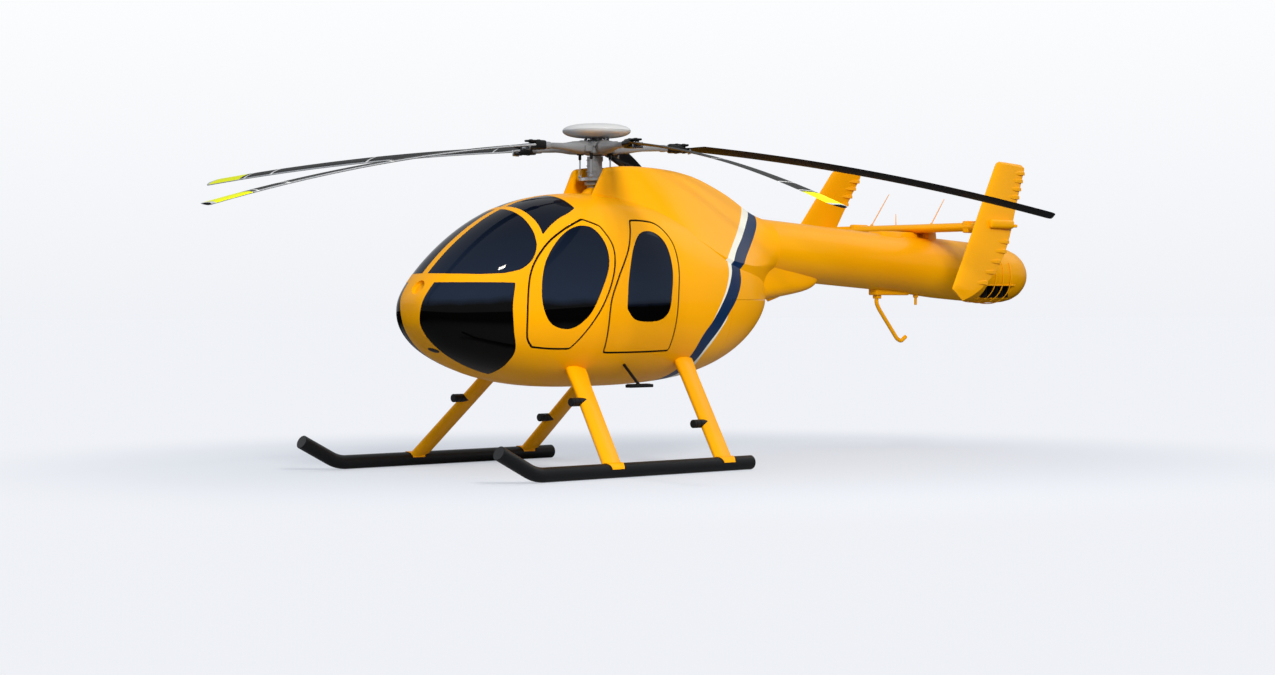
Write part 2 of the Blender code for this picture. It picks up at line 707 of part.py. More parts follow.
def build_fairings():
    """Rotor fairing on the roof and exhaust fairing under the boom."""
    rings = []
    for i, station in enumerate(FAIRING_STATIONS):
        rings.append(fairing_ring(*station, 0.0 if i else LIP_RAKE))
    fairing = add_object("rotor_fairing", loft_mesh("rotor_fairing", rings), YELLOW)
    skin = add_cutter("guide_pod", pod_mesh("guide_pod", 2 * HAIR))
    well = [Vector((WELL_RADIUS, -0.9)), Vector((WELL_RADIUS, WELL_CENTRE_Y))]
    for k in range(1, 8):
        angle = math.pi * k / 8
        well.append(Vector((WELL_RADIUS * math.cos(angle), WELL_CENTRE_Y + WELL_RADIUS * math.sin(angle))))
    well += [Vector((-WELL_RADIUS, WELL_CENTRE_Y)), Vector((-WELL_RADIUS, -0.9))]
    well = add_cutter("cut_mast_well", plan_prism("cut_mast_well", well, 1.0, 1.0, 3.0))
    boolean(fairing, skin, "DIFFERENCE")
    boolean(fairing, well, "DIFFERENCE")

    stations = [(1.86, 0.21, 1.42), (2.10, 0.20, 1.455), (2.62, 0.15, 1.535), (2.79, 0.11, 1.62)]
    rings = []
    for y, half, low in stations:
        top = boom_z(y) - BOOM_RADIUS * 0.55
        rings.append([Vector((x, y, z)) for x, z in ((half, top), (half, low + 0.06), (half * 0.6, low),
                                                     (-half * 0.6, low), (-half, low + 0.06), (-half, top))])
    exhaust = add_object("exhaust_fairing", loft_mesh("exhaust_fairing", rings), YELLOW)
    tube = add_cutter("guide_boom", loft_mesh("guide_boom", [boom_ring(1.2, BOOM_RADIUS + 2 * HAIR),
                                                             boom_ring(3.2, BOOM_RADIUS + 2 * HAIR)]))
    boolean(exhaust, skin, "DIFFERENCE")
    boolean(exhaust, tube, "DIFFERENCE")
    hump = add_cutter("guide_fairing", loft_mesh("guide_fairing", rings_grown(rings_of_fairing(), HAIR * 2)))
    boolean(exhaust, hump, "DIFFERENCE")
    return skin


def rings_of_fairing():
    """The fairing's sections, for the pieces that meet it."""
    return [fairing_ring(*station, 0.0) for station in FAIRING_STATIONS]


def rings_grown(rings, grow):
    """Sections grown outwards in their own planes."""
    out = []
    for ring in rings:
        centre = sum(ring, Vector()) / len(ring)
        out.append([point + (point - centre).normalized() * grow for point in ring])
    out[-1] = [point + Vector((0, grow, 0)) for point in out[-1]]
    return out


def build_tail():
    """Boom, turning thruster, tailplane, fins and tail bumper."""
    rings = [boom_ring(BOOM_START + HAIR, BOOM_RADIUS, True), boom_ring(BOOM_AFT_START - 0.2, BOOM_RADIUS),
             boom_ring(BOOM_AFT_START + 0.2, (BOOM_RADIUS + BOOM_AFT_RADIUS) / 2),
             boom_ring(BOOM_AFT_START + 0.6, BOOM_AFT_RADIUS), boom_ring(BOOM_END, BOOM_AFT_RADIUS),
             boom_ring(BOOM_END, SPIGOT_RADIUS), boom_ring(BOOM_END + SPIGOT_LENGTH, SPIGOT_RADIUS)]
    boom = add_object("tail_boom", loft_mesh("tail_boom", rings), YELLOW)

    axis_z = boom_z(BOOM_END)
    pivot = add_pivot("thruster_axis", (0, BOOM_END, axis_z))
    profile = [(BOOM_END + DOOR_GAP, BOOM_AFT_RADIUS), (THRUSTER_END - 0.30, BOOM_AFT_RADIUS - 0.012),
               (THRUSTER_END - 0.15, BOOM_AFT_RADIUS - 0.045), (THRUSTER_END - 0.06, 0.17),
               (THRUSTER_END - 0.01, 0.10)]
    bore = (SPIGOT_RADIUS + KNUCKLE_GAP) / math.cos(math.pi / BOOM_SEGMENTS)
    rings = [boom_ring(y, r) for y, r in profile]
    rings.append([Vector((0, THRUSTER_END, boom_z(THRUSTER_END)))])
    outer = rings
    inner = [[Vector((0, THRUSTER_END - THRUSTER_WALL, boom_z(THRUSTER_END)))]]
    for y, r in reversed(profile[1:-1]):
        inner.append(boom_ring(y - THRUSTER_WALL * 0.5, r - THRUSTER_WALL, turn=0.0))
    inner.append(boom_ring(BOOM_END + SPIGOT_LENGTH + 0.02, bore, turn=0.0))
    inner.append(boom_ring(BOOM_END + DOOR_GAP, bore, turn=0.0))
    mesh = cup_mesh("tail_thruster", outer, inner)
    thruster = add_object("tail_thruster", shifted(mesh, (0, -BOOM_END, -axis_z)), YELLOW, pivot)
    for side, sign in SIDES.items():
        low = (min(sign * 0.05, sign * 0.5), SLOT_Y[0], SLOT_Z[0])
        high = (max(sign * 0.05, sign * 0.5), SLOT_Y[1], SLOT_Z[1])
        slot = add_cutter(f"cut_thruster_slot_{side}", box_mesh(f"cut_thruster_slot_{side}", low, high))
        boolean(thruster, slot, "DIFFERENCE")

    rings = []
    half_span = FIN_X - FIN_THICKNESS / 2 - FIN_CANT * TAILPLANE_THICKNESS * 0.45 - HAIR
    for x in (-half_span, 0, half_span):
        chord = TAILPLANE_TIP_CHORD if x else TAILPLANE_ROOT_CHORD
        rings.append([Vector((x, TAILPLANE_FRONT + u, TAILPLANE_Z + v))
                      for u, v in airfoil(chord, TAILPLANE_THICKNESS)])
    plane = add_object("tailplane", loft_mesh("tailplane", rings), YELLOW)
    tube = add_cutter("guide_boom_aft", loft_mesh("guide_boom_aft", [grown_boom_ring(y) for y in (
        BOOM_AFT_START - 0.9, BOOM_AFT_START - 0.2, BOOM_AFT_START + 0.2, BOOM_AFT_START + 0.6, BOOM_END)]))
    for n, (front, back, half, top) in enumerate(SADDLES):
        low = (-half, front, boom_z(back) + BOOM_RADIUS * 0.8)
        pad = add_cutter(f"guide_saddle_{n}", box_mesh(f"guide_saddle_{n}", low, (half, back, top)))
        boolean(pad, tube, "DIFFERENCE")
        boolean(plane, pad, "UNION")

    outline = [Vector(p) for p in FIN_OUTLINE]
    for side, sign in SIDES.items():
        inner = offset_outline(outline, 0.0)
        edge = offset_outline(outline, -0.02)
        half = FIN_THICKNESS / 2
        rings = []
        for x, line in ((FIN_X - half, edge), (FIN_X - half * 0.5, inner), (FIN_X + half * 0.5, inner),
                        (FIN_X + half, edge)):
            rings.append([Vector((sign * (x - FIN_CANT * (p.y - TAILPLANE_Z)), p.x, p.y)) for p in line])
        add_object(f"fin_{side}", loft_mesh(f"fin_{side}", rings), YELLOW)

    low = boom_z(3.9) - BOOM_RADIUS - 0.045
    path = [(0, 3.73, low), (0, 3.725, low - 0.06), (0, 3.75, low - 0.11), (0, 4.03, low - 0.42),
            (0, 4.09, low - 0.44), (0, 4.16, low - 0.40)]
    bumper = add_object("tail_bumper", swept_mesh("tail_bumper", path, 0.021, 8), YELLOW)
    plate = add_cutter("guide_bumper_plate", box_mesh("guide_bumper_plate", (-0.06, 3.66, low - 0.012),
                                                      (0.06, 4.16, boom_z(3.9))))
    boolean(plate, tube, "DIFFERENCE")
    boolean(bumper, plate, "UNION")
    return boom


def grown_boom_ring(y):
    """A boom section with a hair of room round it."""
    share = min(max((y - BOOM_AFT_START + 0.2) / 0.8, 0.0), 1.0)
    radius = BOOM_RADIUS + (BOOM_AFT_RADIUS - BOOM_RADIUS) * share
    return boom_ring(y, radius + 2 * HAIR)


def cup_mesh(name, outer, inner):
    """A closed wall between an outer skin and an inner skin that meet at one rim."""
    bm = bmesh.new()
    rows = [[bm.verts.new(point) for point in ring] for ring in outer + inner]
    rows.append(rows[0])
    for first, second in zip(rows, rows[1:]):
        if len(first) == 1 and len(second) == 1:
            continue
        count = max(len(first), len(second))
        for i in range(count):
            j = (i + 1) % count
            corners = []
            for row, k in ((first, i), (first, j), (second, j), (second, i)):
                vert = row[k % len(row)]
                if vert not in corners:
                    corners.append(vert)
            bm.faces.new(corners)
    return finish_bmesh(bm, name)


def build_rotor(skin):
    """Mast, swashplate, links, hub, cap and blades."""
    mast_top = HUB_Z - HUB_HEIGHT / 2 - KNUCKLE_GAP
    profile = [(0, 2.30), (MAST_FOOT_RADIUS, 2.30), (MAST_FOOT_RADIUS, 2.385), (MAST_RADIUS, 2.40),
               (MAST_RADIUS, SWASH_Z - 0.038), (0.11, SWASH_Z - 0.036), (0.11, SWASH_Z - 0.006),
               (MAST_RADIUS, SWASH_Z - 0.004), (MAST_RADIUS, mast_top), (0, mast_top)]
    mast = add_object("mast", turned_mesh("mast", profile, 12), GREY_METAL)
    boolean(mast, skin, "DIFFERENCE")

    spin = add_pivot("rotor_axis", (0, 0, 0))
    bore = MAST_RADIUS + 0.006
    swash_top = SWASH_Z + SWASH_THICKNESS
    ring_profile = [(bore, SWASH_Z), (bore, swash_top), (SWASH_RADIUS, swash_top), (SWASH_RADIUS, SWASH_Z)]
    links = add_object("pitch_links", ring_mesh("pitch_links", ring_profile, 12), GREY_METAL, spin)
    low = HUB_Z - HUB_HEIGHT / 2
    high = HUB_Z + HUB_HEIGHT / 2
    stub_top = CAP_Z - CAP_HALF_HEIGHT - HAIR
    profile = [(0, low), (HUB_RADIUS, low), (HUB_RADIUS, high), (0.05, high), (0.05, stub_top), (0, stub_top)]
    hub = add_object("rotor_hub", turned_mesh("rotor_hub", profile, 15), GREY_METAL, spin)
    for k in range(BLADE_COUNT):
        angle = math.radians(FIRST_BLADE_DEG + 360 / BLADE_COUNT * k)
        out = Vector((math.cos(angle), math.sin(angle), 0))
        centre = Vector((0, 0, HUB_Z))
        arm = add_cutter(f"guide_arm_{k}", cylinder_mesh(
            f"guide_arm_{k}", centre + out * 0.05, centre + out * (ARM_END - HAIR), ARM_RADIUS * 1.15, 6,
            ARM_RADIUS * 0.85))
        boolean(hub, arm, "UNION")
        lean = angle + math.radians(28)
        foot = Vector((LINK_CIRCLE * math.cos(lean), LINK_CIRCLE * math.sin(lean), SWASH_Z + 0.01))
        head = Vector((foot.x, foot.y, HUB_Z - 0.035))
        link = add_cutter(f"guide_link_{k}", cylinder_mesh(f"guide_link_{k}", foot, head, LINK_RADIUS, 5))
        boolean(links, link, "UNION")
        horn_low = Vector((foot.x, foot.y, HUB_Z - 0.035 + HAIR))
        horn = add_cutter(f"guide_horn_{k}", cylinder_mesh(f"guide_horn_{k}", horn_low,
                                                           horn_low + Vector((0, 0, 0.05)), 0.03, 4))
        boolean(hub, horn, "UNION")
        name = f"blade_{k + 1}"
        blade = add_object(name, blade_mesh(name, *BLADE_SET[k]), BLACK, spin)
        blade.rotation_euler = (0, 0, angle)
        grip = add_cutter(f"guide_grip_{k}", box_mesh(f"guide_grip_{k}", (ARM_END, -0.045, HUB_Z - 0.04),
                                                      (ARM_END + GRIP_LENGTH, 0.045, HUB_Z + 0.04)))
        grip.parent = spin
        grip.rotation_euler = (0, 0, angle)
        boolean(blade, grip, "UNION")

    rows = []
    steps = 3
    for k in range(-steps, steps + 1):
        share = k / steps
        height = CAP_Z + CAP_HALF_HEIGHT * math.sin(share * math.pi / 2)
        radius = CAP_RADIUS * math.cos(share * math.pi / 2) ** 0.62 if abs(k) < steps else 0.0
        rows.append((radius, height))
    add_object("hub_cap", turned_mesh("hub_cap", rows, 18), WHITE, spin)


def ring_mesh(name, profile, segments):
    """A closed ring turned about the vertical axis from a closed (radius, z) outline."""
    bm = bmesh.new()
    rows = []
    for k in range(segments):
        angle = 2 * math.pi * k / segments
        rows.append([bm.verts.new((r * math.cos(angle), r * math.sin(angle), z)) for r, z in profile])
    count = len(profile)
    for k in range(segments):
        row = rows[k]
        following = rows[(k + 1) % segments]
        for i in range(count):
            j = (i + 1) % count
            bm.faces.new((row[i], row[j], following[j], following[i]))
    return finish_bmesh(bm, name)


def build_gear(skin):
    """Skids, faired legs with their pegs, and boarding steps."""
    for side, sign in SIDES.items():
        x = sign * SKID_X
        bend = 0.06
        toe_y, toe_z = SKID_TOE
        slope = Vector((toe_y - SKID_BEND_Y, toe_z - SKID_RADIUS)).normalized()
        path = [(x, SKID_AFT_Y, SKID_RADIUS), (x, SKID_BEND_Y + bend, SKID_RADIUS),
                (x, SKID_BEND_Y + bend * 0.2, SKID_RADIUS + 0.006),
                (x, SKID_BEND_Y + slope.x * bend, SKID_RADIUS + slope.y * bend + 0.002), (x, toe_y, toe_z)]
        add_object(f"skid_{side}", swept_mesh(f"skid_{side}", path, SKID_RADIUS, 16), BLACK)
        for end, (top_y, top_z, foot_y) in LEGS.items():
            build_leg(f"{end}_leg_{side}", end, sign, top_y, top_z, foot_y, skin)
        inner = (sign * 0.50, -0.20, 0.93)
        rod = cylinder_mesh(f"step_{side}", inner, (sign * 0.725, -0.20, 0.725), 0.014, 8)
        step = add_object(f"step_{side}", rod, BLACK)
        bar = add_cutter(f"guide_step_bar_{side}", box_mesh(f"guide_step_bar_{side}", *sorted_corners(
            (sign * 0.69, -0.35, 0.705), (sign * 0.77, -0.03, 0.735))))
        boolean(step, bar, "UNION")
        boolean(step, skin, "DIFFERENCE")


def sorted_corners(first, second):
    """The low and the high corner of a box given by any two opposite corners."""
    low = tuple(min(a, b) for a, b in zip(first, second))
    high = tuple(max(a, b) for a, b in zip(first, second))
    return low, high


def build_leg(name, end, sign, top_y, top_z, foot_y, skin):
    """One streamlined leg from the belly down to its skid, with the climbing peg on its front edge."""
    foot = Vector((sign * SKID_X, foot_y, SKID_RADIUS))
    top = Vector((sign * LEG_TOP_X, top_y, top_z + 0.04))
    rings = []
    for place in (top, foot):
        ring = []
        for u, v in airfoil(LEG_CHORD, LEG_THICKNESS):
            ring.append(place + Vector((v * 0.8, u - LEG_CHORD * 0.45, v * 0.5 * sign)))
        rings.append(ring)
    leg = add_object(name, loft_mesh(name, rings), YELLOW)
    tube = add_cutter(f"guide_tube_{name}", swept_mesh(f"guide_tube_{name}", [
        (sign * SKID_X, SKID_AFT_Y + 0.1, SKID_RADIUS), (sign * SKID_X, SKID_BEND_Y - 0.1, SKID_RADIUS)],
        SKID_RADIUS + HAIR * 2, 16))
    share = (top.z - PEGS[end]) / (top.z - foot.z)
    middle = top.lerp(foot, share)
    tip = middle + Vector((0, -LEG_CHORD * 0.4 - PEG_LENGTH * 0.75, 0))
    peg = add_cutter(f"guide_peg_{name}", cylinder_mesh(f"guide_peg_{name}", tip, middle, PEG_RADIUS, 10))
    boolean(leg, peg, "UNION")
    boolean(leg, tube, "DIFFERENCE")
    boolean(leg, skin, "DIFFERENCE")


clear_scene()
DATUM = bpy.data.objects.new("datum", None)
bpy.context.scene.collection.objects.link(DATUM)
DATUM.location = (0, DATUM_Y, 0)
YELLOW = material("yellow_enamel", (0.93, 0.42, 0.01), 0.25)
GLASS_DARK = material("tinted_acrylic", (0.02, 0.025, 0.035), 0.05)
BLACK = material("black_paint", (0.015, 0.015, 0.017), 0.45)
GREY_DARK = material("grey_trim", (0.08, 0.085, 0.09), 0.7)
GREY_METAL = material("grey_alloy", (0.30, 0.32, 0.34), 0.4, 0.8)
WHITE = material("white_enamel", (0.80, 0.82, 0.84), 0.3)
LEATHER = material("grey_leather", (0.10, 0.10, 0.11), 0.6)

build_pod_panels()
build_interior()
POD_SKIN = build_fairings()
build_tail()
build_rotor(POD_SKIN)
build_gear(POD_SKIN)
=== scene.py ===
"""Light helicopter in yellow enamel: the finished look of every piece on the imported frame.

Places are in metres from the rotor axis, nose towards -Y and port side towards +X. Each finished
piece is moved to the row's frame when it is set in place.
"""

import math

import bmesh
import bpy
import numpy as np
from mathutils import Matrix, Vector
from mathutils.bvhtree import BVHTree
from mathutils.interpolate import poly_3d_calc


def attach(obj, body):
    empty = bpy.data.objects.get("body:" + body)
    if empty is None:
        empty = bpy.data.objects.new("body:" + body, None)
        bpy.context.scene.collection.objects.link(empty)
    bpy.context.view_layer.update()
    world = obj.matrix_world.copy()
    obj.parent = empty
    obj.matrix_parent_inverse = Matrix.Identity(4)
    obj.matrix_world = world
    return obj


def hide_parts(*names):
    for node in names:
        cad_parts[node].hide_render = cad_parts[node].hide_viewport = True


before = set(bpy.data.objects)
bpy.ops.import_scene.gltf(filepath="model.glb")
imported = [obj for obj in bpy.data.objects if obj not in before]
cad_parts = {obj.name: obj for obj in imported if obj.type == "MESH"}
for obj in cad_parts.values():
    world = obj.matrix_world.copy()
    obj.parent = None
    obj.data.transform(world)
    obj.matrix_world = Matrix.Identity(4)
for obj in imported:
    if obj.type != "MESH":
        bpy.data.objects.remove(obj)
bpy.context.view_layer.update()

MAST_Y = -0.87
SIDES = {"left": 1.0, "right": -1.0}

# Pod: station y, half width, bottom z, widest z, top z
POD_STATIONS = [
    (-2.095, 0.00, 1.36, 1.36, 1.36),
    (-2.06, 0.205, 1.195, 1.35, 1.505),
    (-1.93, 0.345, 1.05, 1.34, 1.66),
    (-1.70, 0.47, 0.92, 1.34, 1.87),
    (-1.30, 0.61, 0.79, 1.35, 2.13),
    (-0.80, 0.70, 0.715, 1.38, 2.305),
    (-0.20, 0.73, 0.70, 1.41, 2.36),
    (0.40, 0.69, 0.715, 1.43, 2.32),
    (1.00, 0.59, 0.79, 1.45, 2.18),
    (1.50, 0.44, 0.96, 1.47, 2.00),
    (1.85, 0.26, 1.19, 1.48, 1.80),
    (2.02, 0.11, 1.37, 1.485, 1.62),
    (2.06, 0.00, 1.485, 1.485, 1.485),
]
POD_POWER_TOP = 2.2
POD_POWER_BOTTOM = 2.25
WALL = 0.035
GLASS = 0.005
GLASS_INSET = 0.0012

# Panel joints
NOSE_JOINT = -1.375
CABIN_END = 0.42
BELLY_FRONT = -1.36
BELLY_TOP = 0.93
ENGINE_DOOR_FRONT = 1.115
ENGINE_DOOR_TOP = 1.445

# Openings: y and z from the side, or x and y from above for the roof window
FRONT_DOOR = [(-1.33, 1.13), (-1.33, 1.52), (-1.265, 1.71), (-1.09, 1.90), (-0.88, 2.03), (-0.63, 2.135),
              (-0.48, 2.07), (-0.425, 1.90), (-0.455, 1.72), (-0.585, 1.44), (-0.745, 1.215), (-0.893, 1.035),
              (-1.09, 1.034), (-1.27, 1.045)]
FRONT_WINDOW = [(-0.73, 2.055), (-0.58, 2.045), (-0.505, 1.94), (-0.50, 1.76), (-0.615, 1.52), (-0.76, 1.30),
                (-0.94, 1.20), (-1.13, 1.25), (-1.21, 1.43), (-1.16, 1.71), (-0.96, 1.94)]
REAR_DOOR = [(-0.11, 2.13), (0.04, 2.13), (0.21, 2.10), (0.32, 1.96), (0.335, 1.76), (0.30, 1.50),
             (0.275, 1.20), (0.27, 1.005), (-0.52, 1.0), (-0.507, 1.41), (-0.415, 1.62), (-0.25, 1.87)]
REAR_WINDOW = [(-0.05, 2.01), (0.12, 2.02), (0.22, 1.94), (0.25, 1.74), (0.22, 1.52), (0.175, 1.34),
               (0.07, 1.27), (-0.24, 1.275), (-0.34, 1.36), (-0.31, 1.61), (-0.20, 1.87)]
WINDSCREEN = [(-1.162, 2.50), (-1.162, 1.905), (-1.373, 1.686), (-2.30, 1.686), (-2.30, 2.50)]
NOSE_WINDOW = [(-1.43, 1.582), (-1.467, 1.394), (-1.447, 1.191), (-1.385, 1.02), (-1.385, 0.93), (-1.39, 0.86),
               (-1.43, 0.60), (-2.40, 0.60), (-2.40, 1.582)]
NOSE_WINDOW_FRONT = [(0.170, 1.70), (0.163, 1.58), (0.150, 1.47), (0.125, 1.35), (0.108, 1.24), (0.113, 1.14),
                     (0.126, 1.05), (0.132, 0.95), (0.136, 0.88), (0.165, 0.825), (0.26, 0.79), (1.2, 0.79), (1.2, 1.70)]
ROOF_WINDOW = [(0.032, -1.082), (0.30, -1.072), (0.44, -1.068), (0.492, -1.078), (0.468, -0.979), (0.441, -0.845),
               (0.424, -0.734), (0.391, -0.624), (0.30, -0.63), (0.032, -0.645)]
POST_HALF = 0.032
DOOR_PLANE_X = 0.62
DOOR_DRAFT = 0.25
SEAM_HALF = 0.009

# Rotor fairing: station y, top half width, top z, foot half width, foot z, share of round boom section
FAIRING_STATIONS = [
    (-0.05, 0.218, 2.585, 0.225, 2.34, 0.0),
    (0.10, 0.213, 2.600, 0.262, 2.30, 0.0),
    (0.45, 0.190, 2.605, 0.440, 2.10, 0.0),
    (0.75, 0.165, 2.590, 0.510, 1.97, 0.0),
    (1.05, 0.138, 2.550, 0.520, 1.83, 0.0),
    (1.35, 0.110, 2.480, 0.480, 1.76, 0.05),
    (1.65, 0.100, 2.390, 0.400, 1.70, 0.25),
    (1.90, 0.095, 2.290, 0.330, 1.66, 0.65),
    (2.05, 0.090, 2.230, 0.300, 1.65, 1.0),
]
FAIRING_LIP = (-0.087, 0.215, 2.578, 0.190, 2.37)
LIP_RAKE = 0.62
WELL_RADIUS = 0.178
WELL_CENTRE_Y = 0.20
FILLET = 0.09

# Boom and tail
BOOM_START = 2.05
BOOM_END = 4.99
BOOM_Z_AT_START = 1.922
BOOM_SLOPE = -0.062
BOOM_RADIUS = 0.272
BOOM_AFT_RADIUS = 0.295
TAILPLANE_Z = 2.148
TAILPLANE_FRONT = 4.185
FIN_X = 1.124
FIN_THICKNESS = 0.05
FIN_CANT = 0.15

# Rotor
ROTOR_RADIUS = 4.164
HUB_Z = 2.76
CAP_Z = 2.907
BLADE_CHORD = 0.171
BLADE_SET = [(0.30, 0.30, -2.0, 2.7), (0.33, 0.33, -8.0, 0.0), (0.29, 0.29, -14.0, 4.0), (0.22, 0.26, -10.0, 1.5),
             (0.0, 0.21, -22.0, 0.0)]
LEAD_PIN = 0.745

# Landing gear
SKID_X = 1.258
SKID_RADIUS = 0.061
LEGS = {"front": (-0.71, 0.86, -1.01), "rear": (0.56, 0.93, 0.285)}
LEG_TOP_X = 0.46
LEG_CHORD = 0.205
PEGS = {"front": 0.60, "rear": 0.39}


# Camera at the photograph's viewing angle
def place_camera():
    """Puts the camera at its fitted place and turn."""
    yaw = 0.797552078
    pitch = 0.0106417866
    roll = -0.00208574493
    back = Vector((math.sin(yaw) * math.cos(pitch), -math.cos(yaw) * math.cos(pitch), math.sin(pitch)))
    right = (-back).cross(Vector((0, 0, 1))).normalized()
    up = right.cross(-back)
    turned_right = math.cos(roll) * right + math.sin(roll) * up
    turned_up = -math.sin(roll) * right + math.cos(roll) * up
    lens = bpy.data.cameras.new("camera")
    lens.lens = 2594.449 / 1275 * 36
    lens.sensor_width = 36
    lens.sensor_fit = "HORIZONTAL"
    lens.clip_end = 1500
    camera = bpy.data.objects.new("camera", lens)
    bpy.context.scene.collection.objects.link(camera)
    turn = Matrix((turned_right, turned_up, back)).transposed().to_4x4()
    camera.matrix_world = Matrix.Translation((16.3558583, -15.4722471 + MAST_Y, 1.35663654)) @ turn
    bpy.context.scene.camera = camera


# Colours and nodes
def linear(hex_colour):
    """An sRGB hex colour as linear red, green, blue and alpha."""
    values = []
    for place in (1, 3, 5):
        part = int(hex_colour[place:place + 2], 16) / 255
        values.append(part / 12.92 if part <= 0.04045 else ((part + 0.055) / 1.055) ** 2.4)
    return (*values, 1.0)


def node(tree, kind, feeds=(), out=None, **settings):
    """Adds one node with its settings, sets or links its inputs, and gives it back or one of its outputs."""
    made = tree.nodes.new("ShaderNode" + kind)
    for key, value in settings.items():
        setattr(made, key, value)
    for key, value in dict(feeds).items():
        if isinstance(value, bpy.types.NodeSocket):
            tree.links.new(value, made.inputs[key])
        else:
            made.inputs[key].default_value = value
    return made if out is None else made.outputs[out]


def new_finish(name, **sockets):
    """A new material with constants on its shader's own sockets."""
    made = bpy.data.materials.new(name)
    made.use_nodes = True
    shader = made.node_tree.nodes["Principled BSDF"]
    for key, value in sockets.items():
        shader.inputs[key.replace("_", " ")].default_value = value
    return made, made.node_tree, shader


def painted_edge(tree, z, points):
    """The station y of a painted edge at each height z, on a curve through (z, y) points."""
    share = node(tree, "MapRange", {"Value": z, "From Min": 0.6, "From Max": 2.6}, "Result")
    made = node(tree, "FloatCurve", {"Value": share})
    line = made.mapping.curves[0]
    spots = [((height - 0.6) / 2.0, (y + 0.2) / 2.4) for height, y in points]
    line.points[0].location = spots[0]
    line.points[1].location = spots[-1]
    for spot in spots[1:-1]:
        line.points.new(*spot)
    made.mapping.update()
    return node(tree, "MapRange", {"Value": made.outputs[0], "To Min": -0.2, "To Max": 2.2}, "Result")


def enamel(name, stripe=None):
    """Two-pack polyurethane enamel, sprayed: deep warm yellow under a hard clear gloss, with faint orange peel
    and a slow drift of tone. With stripe edges it carries a navy band with a white pinstripe."""
    made, tree, shader = new_finish(name, Roughness=0.4, Coat_Weight=0.12, Coat_Roughness=0.05,
                                    Specular_IOR_Level=0.08)
    place = node(tree, "TexCoord", out="Object")
    drift = node(tree, "TexNoise", {"Vector": place, "Scale": 1.3, "Detail": 2.0}, "Fac")
    colour = node(tree, "Mix", {0: drift, 6: linear("#F5A500"), 7: linear("#FBB200")}, 2, data_type="RGBA")
    if stripe:
        parts = node(tree, "SeparateXYZ", {"Vector": place}).outputs
        y = node(tree, "Math", {0: parts["Y"], 1: MAST_Y}, 0, operation="SUBTRACT")
        for tone, front, back in (("#EDEFE6", *stripe["white"]), ("#0A2A52", *stripe["navy"])):
            front_edge = painted_edge(tree, parts["Z"], front)
            back_edge = painted_edge(tree, parts["Z"], back)
            ahead = node(tree, "Math", {0: y, 1: front_edge}, 0, operation="SUBTRACT")
            behind = node(tree, "Math", {0: back_edge, 1: y}, 0, operation="SUBTRACT")
            inside = node(tree, "Math", {0: ahead, 1: behind}, 0, operation="MINIMUM")
            mask = node(tree, "Math", {0: inside, 1: 900.0}, 0, operation="MULTIPLY", use_clamp=True)
            colour = node(tree, "Mix", {0: mask, 6: colour, 7: linear(tone)}, 2, data_type="RGBA")
    tree.links.new(colour, shader.inputs["Base Color"])
    peel = node(tree, "TexNoise", {"Vector": place, "Scale": 260.0, "Detail": 1.0}, "Fac")
    normal = node(tree, "Bump", {"Height": peel, "Strength": 0.05, "Distance": 0.0006}, "Normal")
    tree.links.new(normal, shader.inputs["Normal"])
    return made


POD_STRIPE = {
    "navy": ([(0.70, 0.50), (0.944, 0.627), (1.131, 0.70), (1.255, 0.812), (1.392, 0.929), (1.505, 1.024),
              (1.618, 1.099), (1.695, 1.141), (1.746, 1.155), (1.90, 1.18)],
             [(0.70, 0.62), (0.885, 0.747), (1.042, 0.82), (1.191, 0.947), (1.316, 1.057), (1.43, 1.172),
              (1.544, 1.254), (1.62, 1.29), (1.69, 1.30), (1.90, 1.34)]),
    "white": ([(0.70, 0.50), (0.944, 0.627), (1.131, 0.70), (1.255, 0.812), (1.335, 0.868), (1.417, 0.928),
               (1.517, 1.0), (1.618, 1.057), (1.694, 1.09), (1.783, 1.10), (1.90, 1.12)],
              [(0.70, 0.73), (0.865, 0.807), (0.954, 0.812), (1.079, 0.887), (1.191, 0.971), (1.279, 1.04),
               (1.36, 1.06), (1.69, 1.26), (1.90, 1.30)]),
}
FAIRING_STRIPE = {
    "navy": ([(1.55, 0.90), (1.694, 1.075), (1.756, 1.155), (1.875, 1.302), (2.009, 1.513), (2.158, 1.701),
              (2.25, 1.808), (2.40, 1.95)],
             [(1.55, 1.10), (1.694, 1.28), (1.80, 1.421), (1.934, 1.622), (2.055, 1.767), (2.162, 1.865),
              (2.25, 1.93), (2.40, 2.05)]),
    "white": ([(1.55, 0.82), (1.694, 0.97), (1.795, 1.08), (1.926, 1.265), (2.073, 1.479), (2.222, 1.652),
               (2.319, 1.749), (2.45, 1.87)],
              [(1.55, 0.91), (1.694, 1.08), (1.756, 1.16), (1.875, 1.31), (2.009, 1.52), (2.158, 1.71),
               (2.25, 1.815), (2.45, 2.0)]),
}


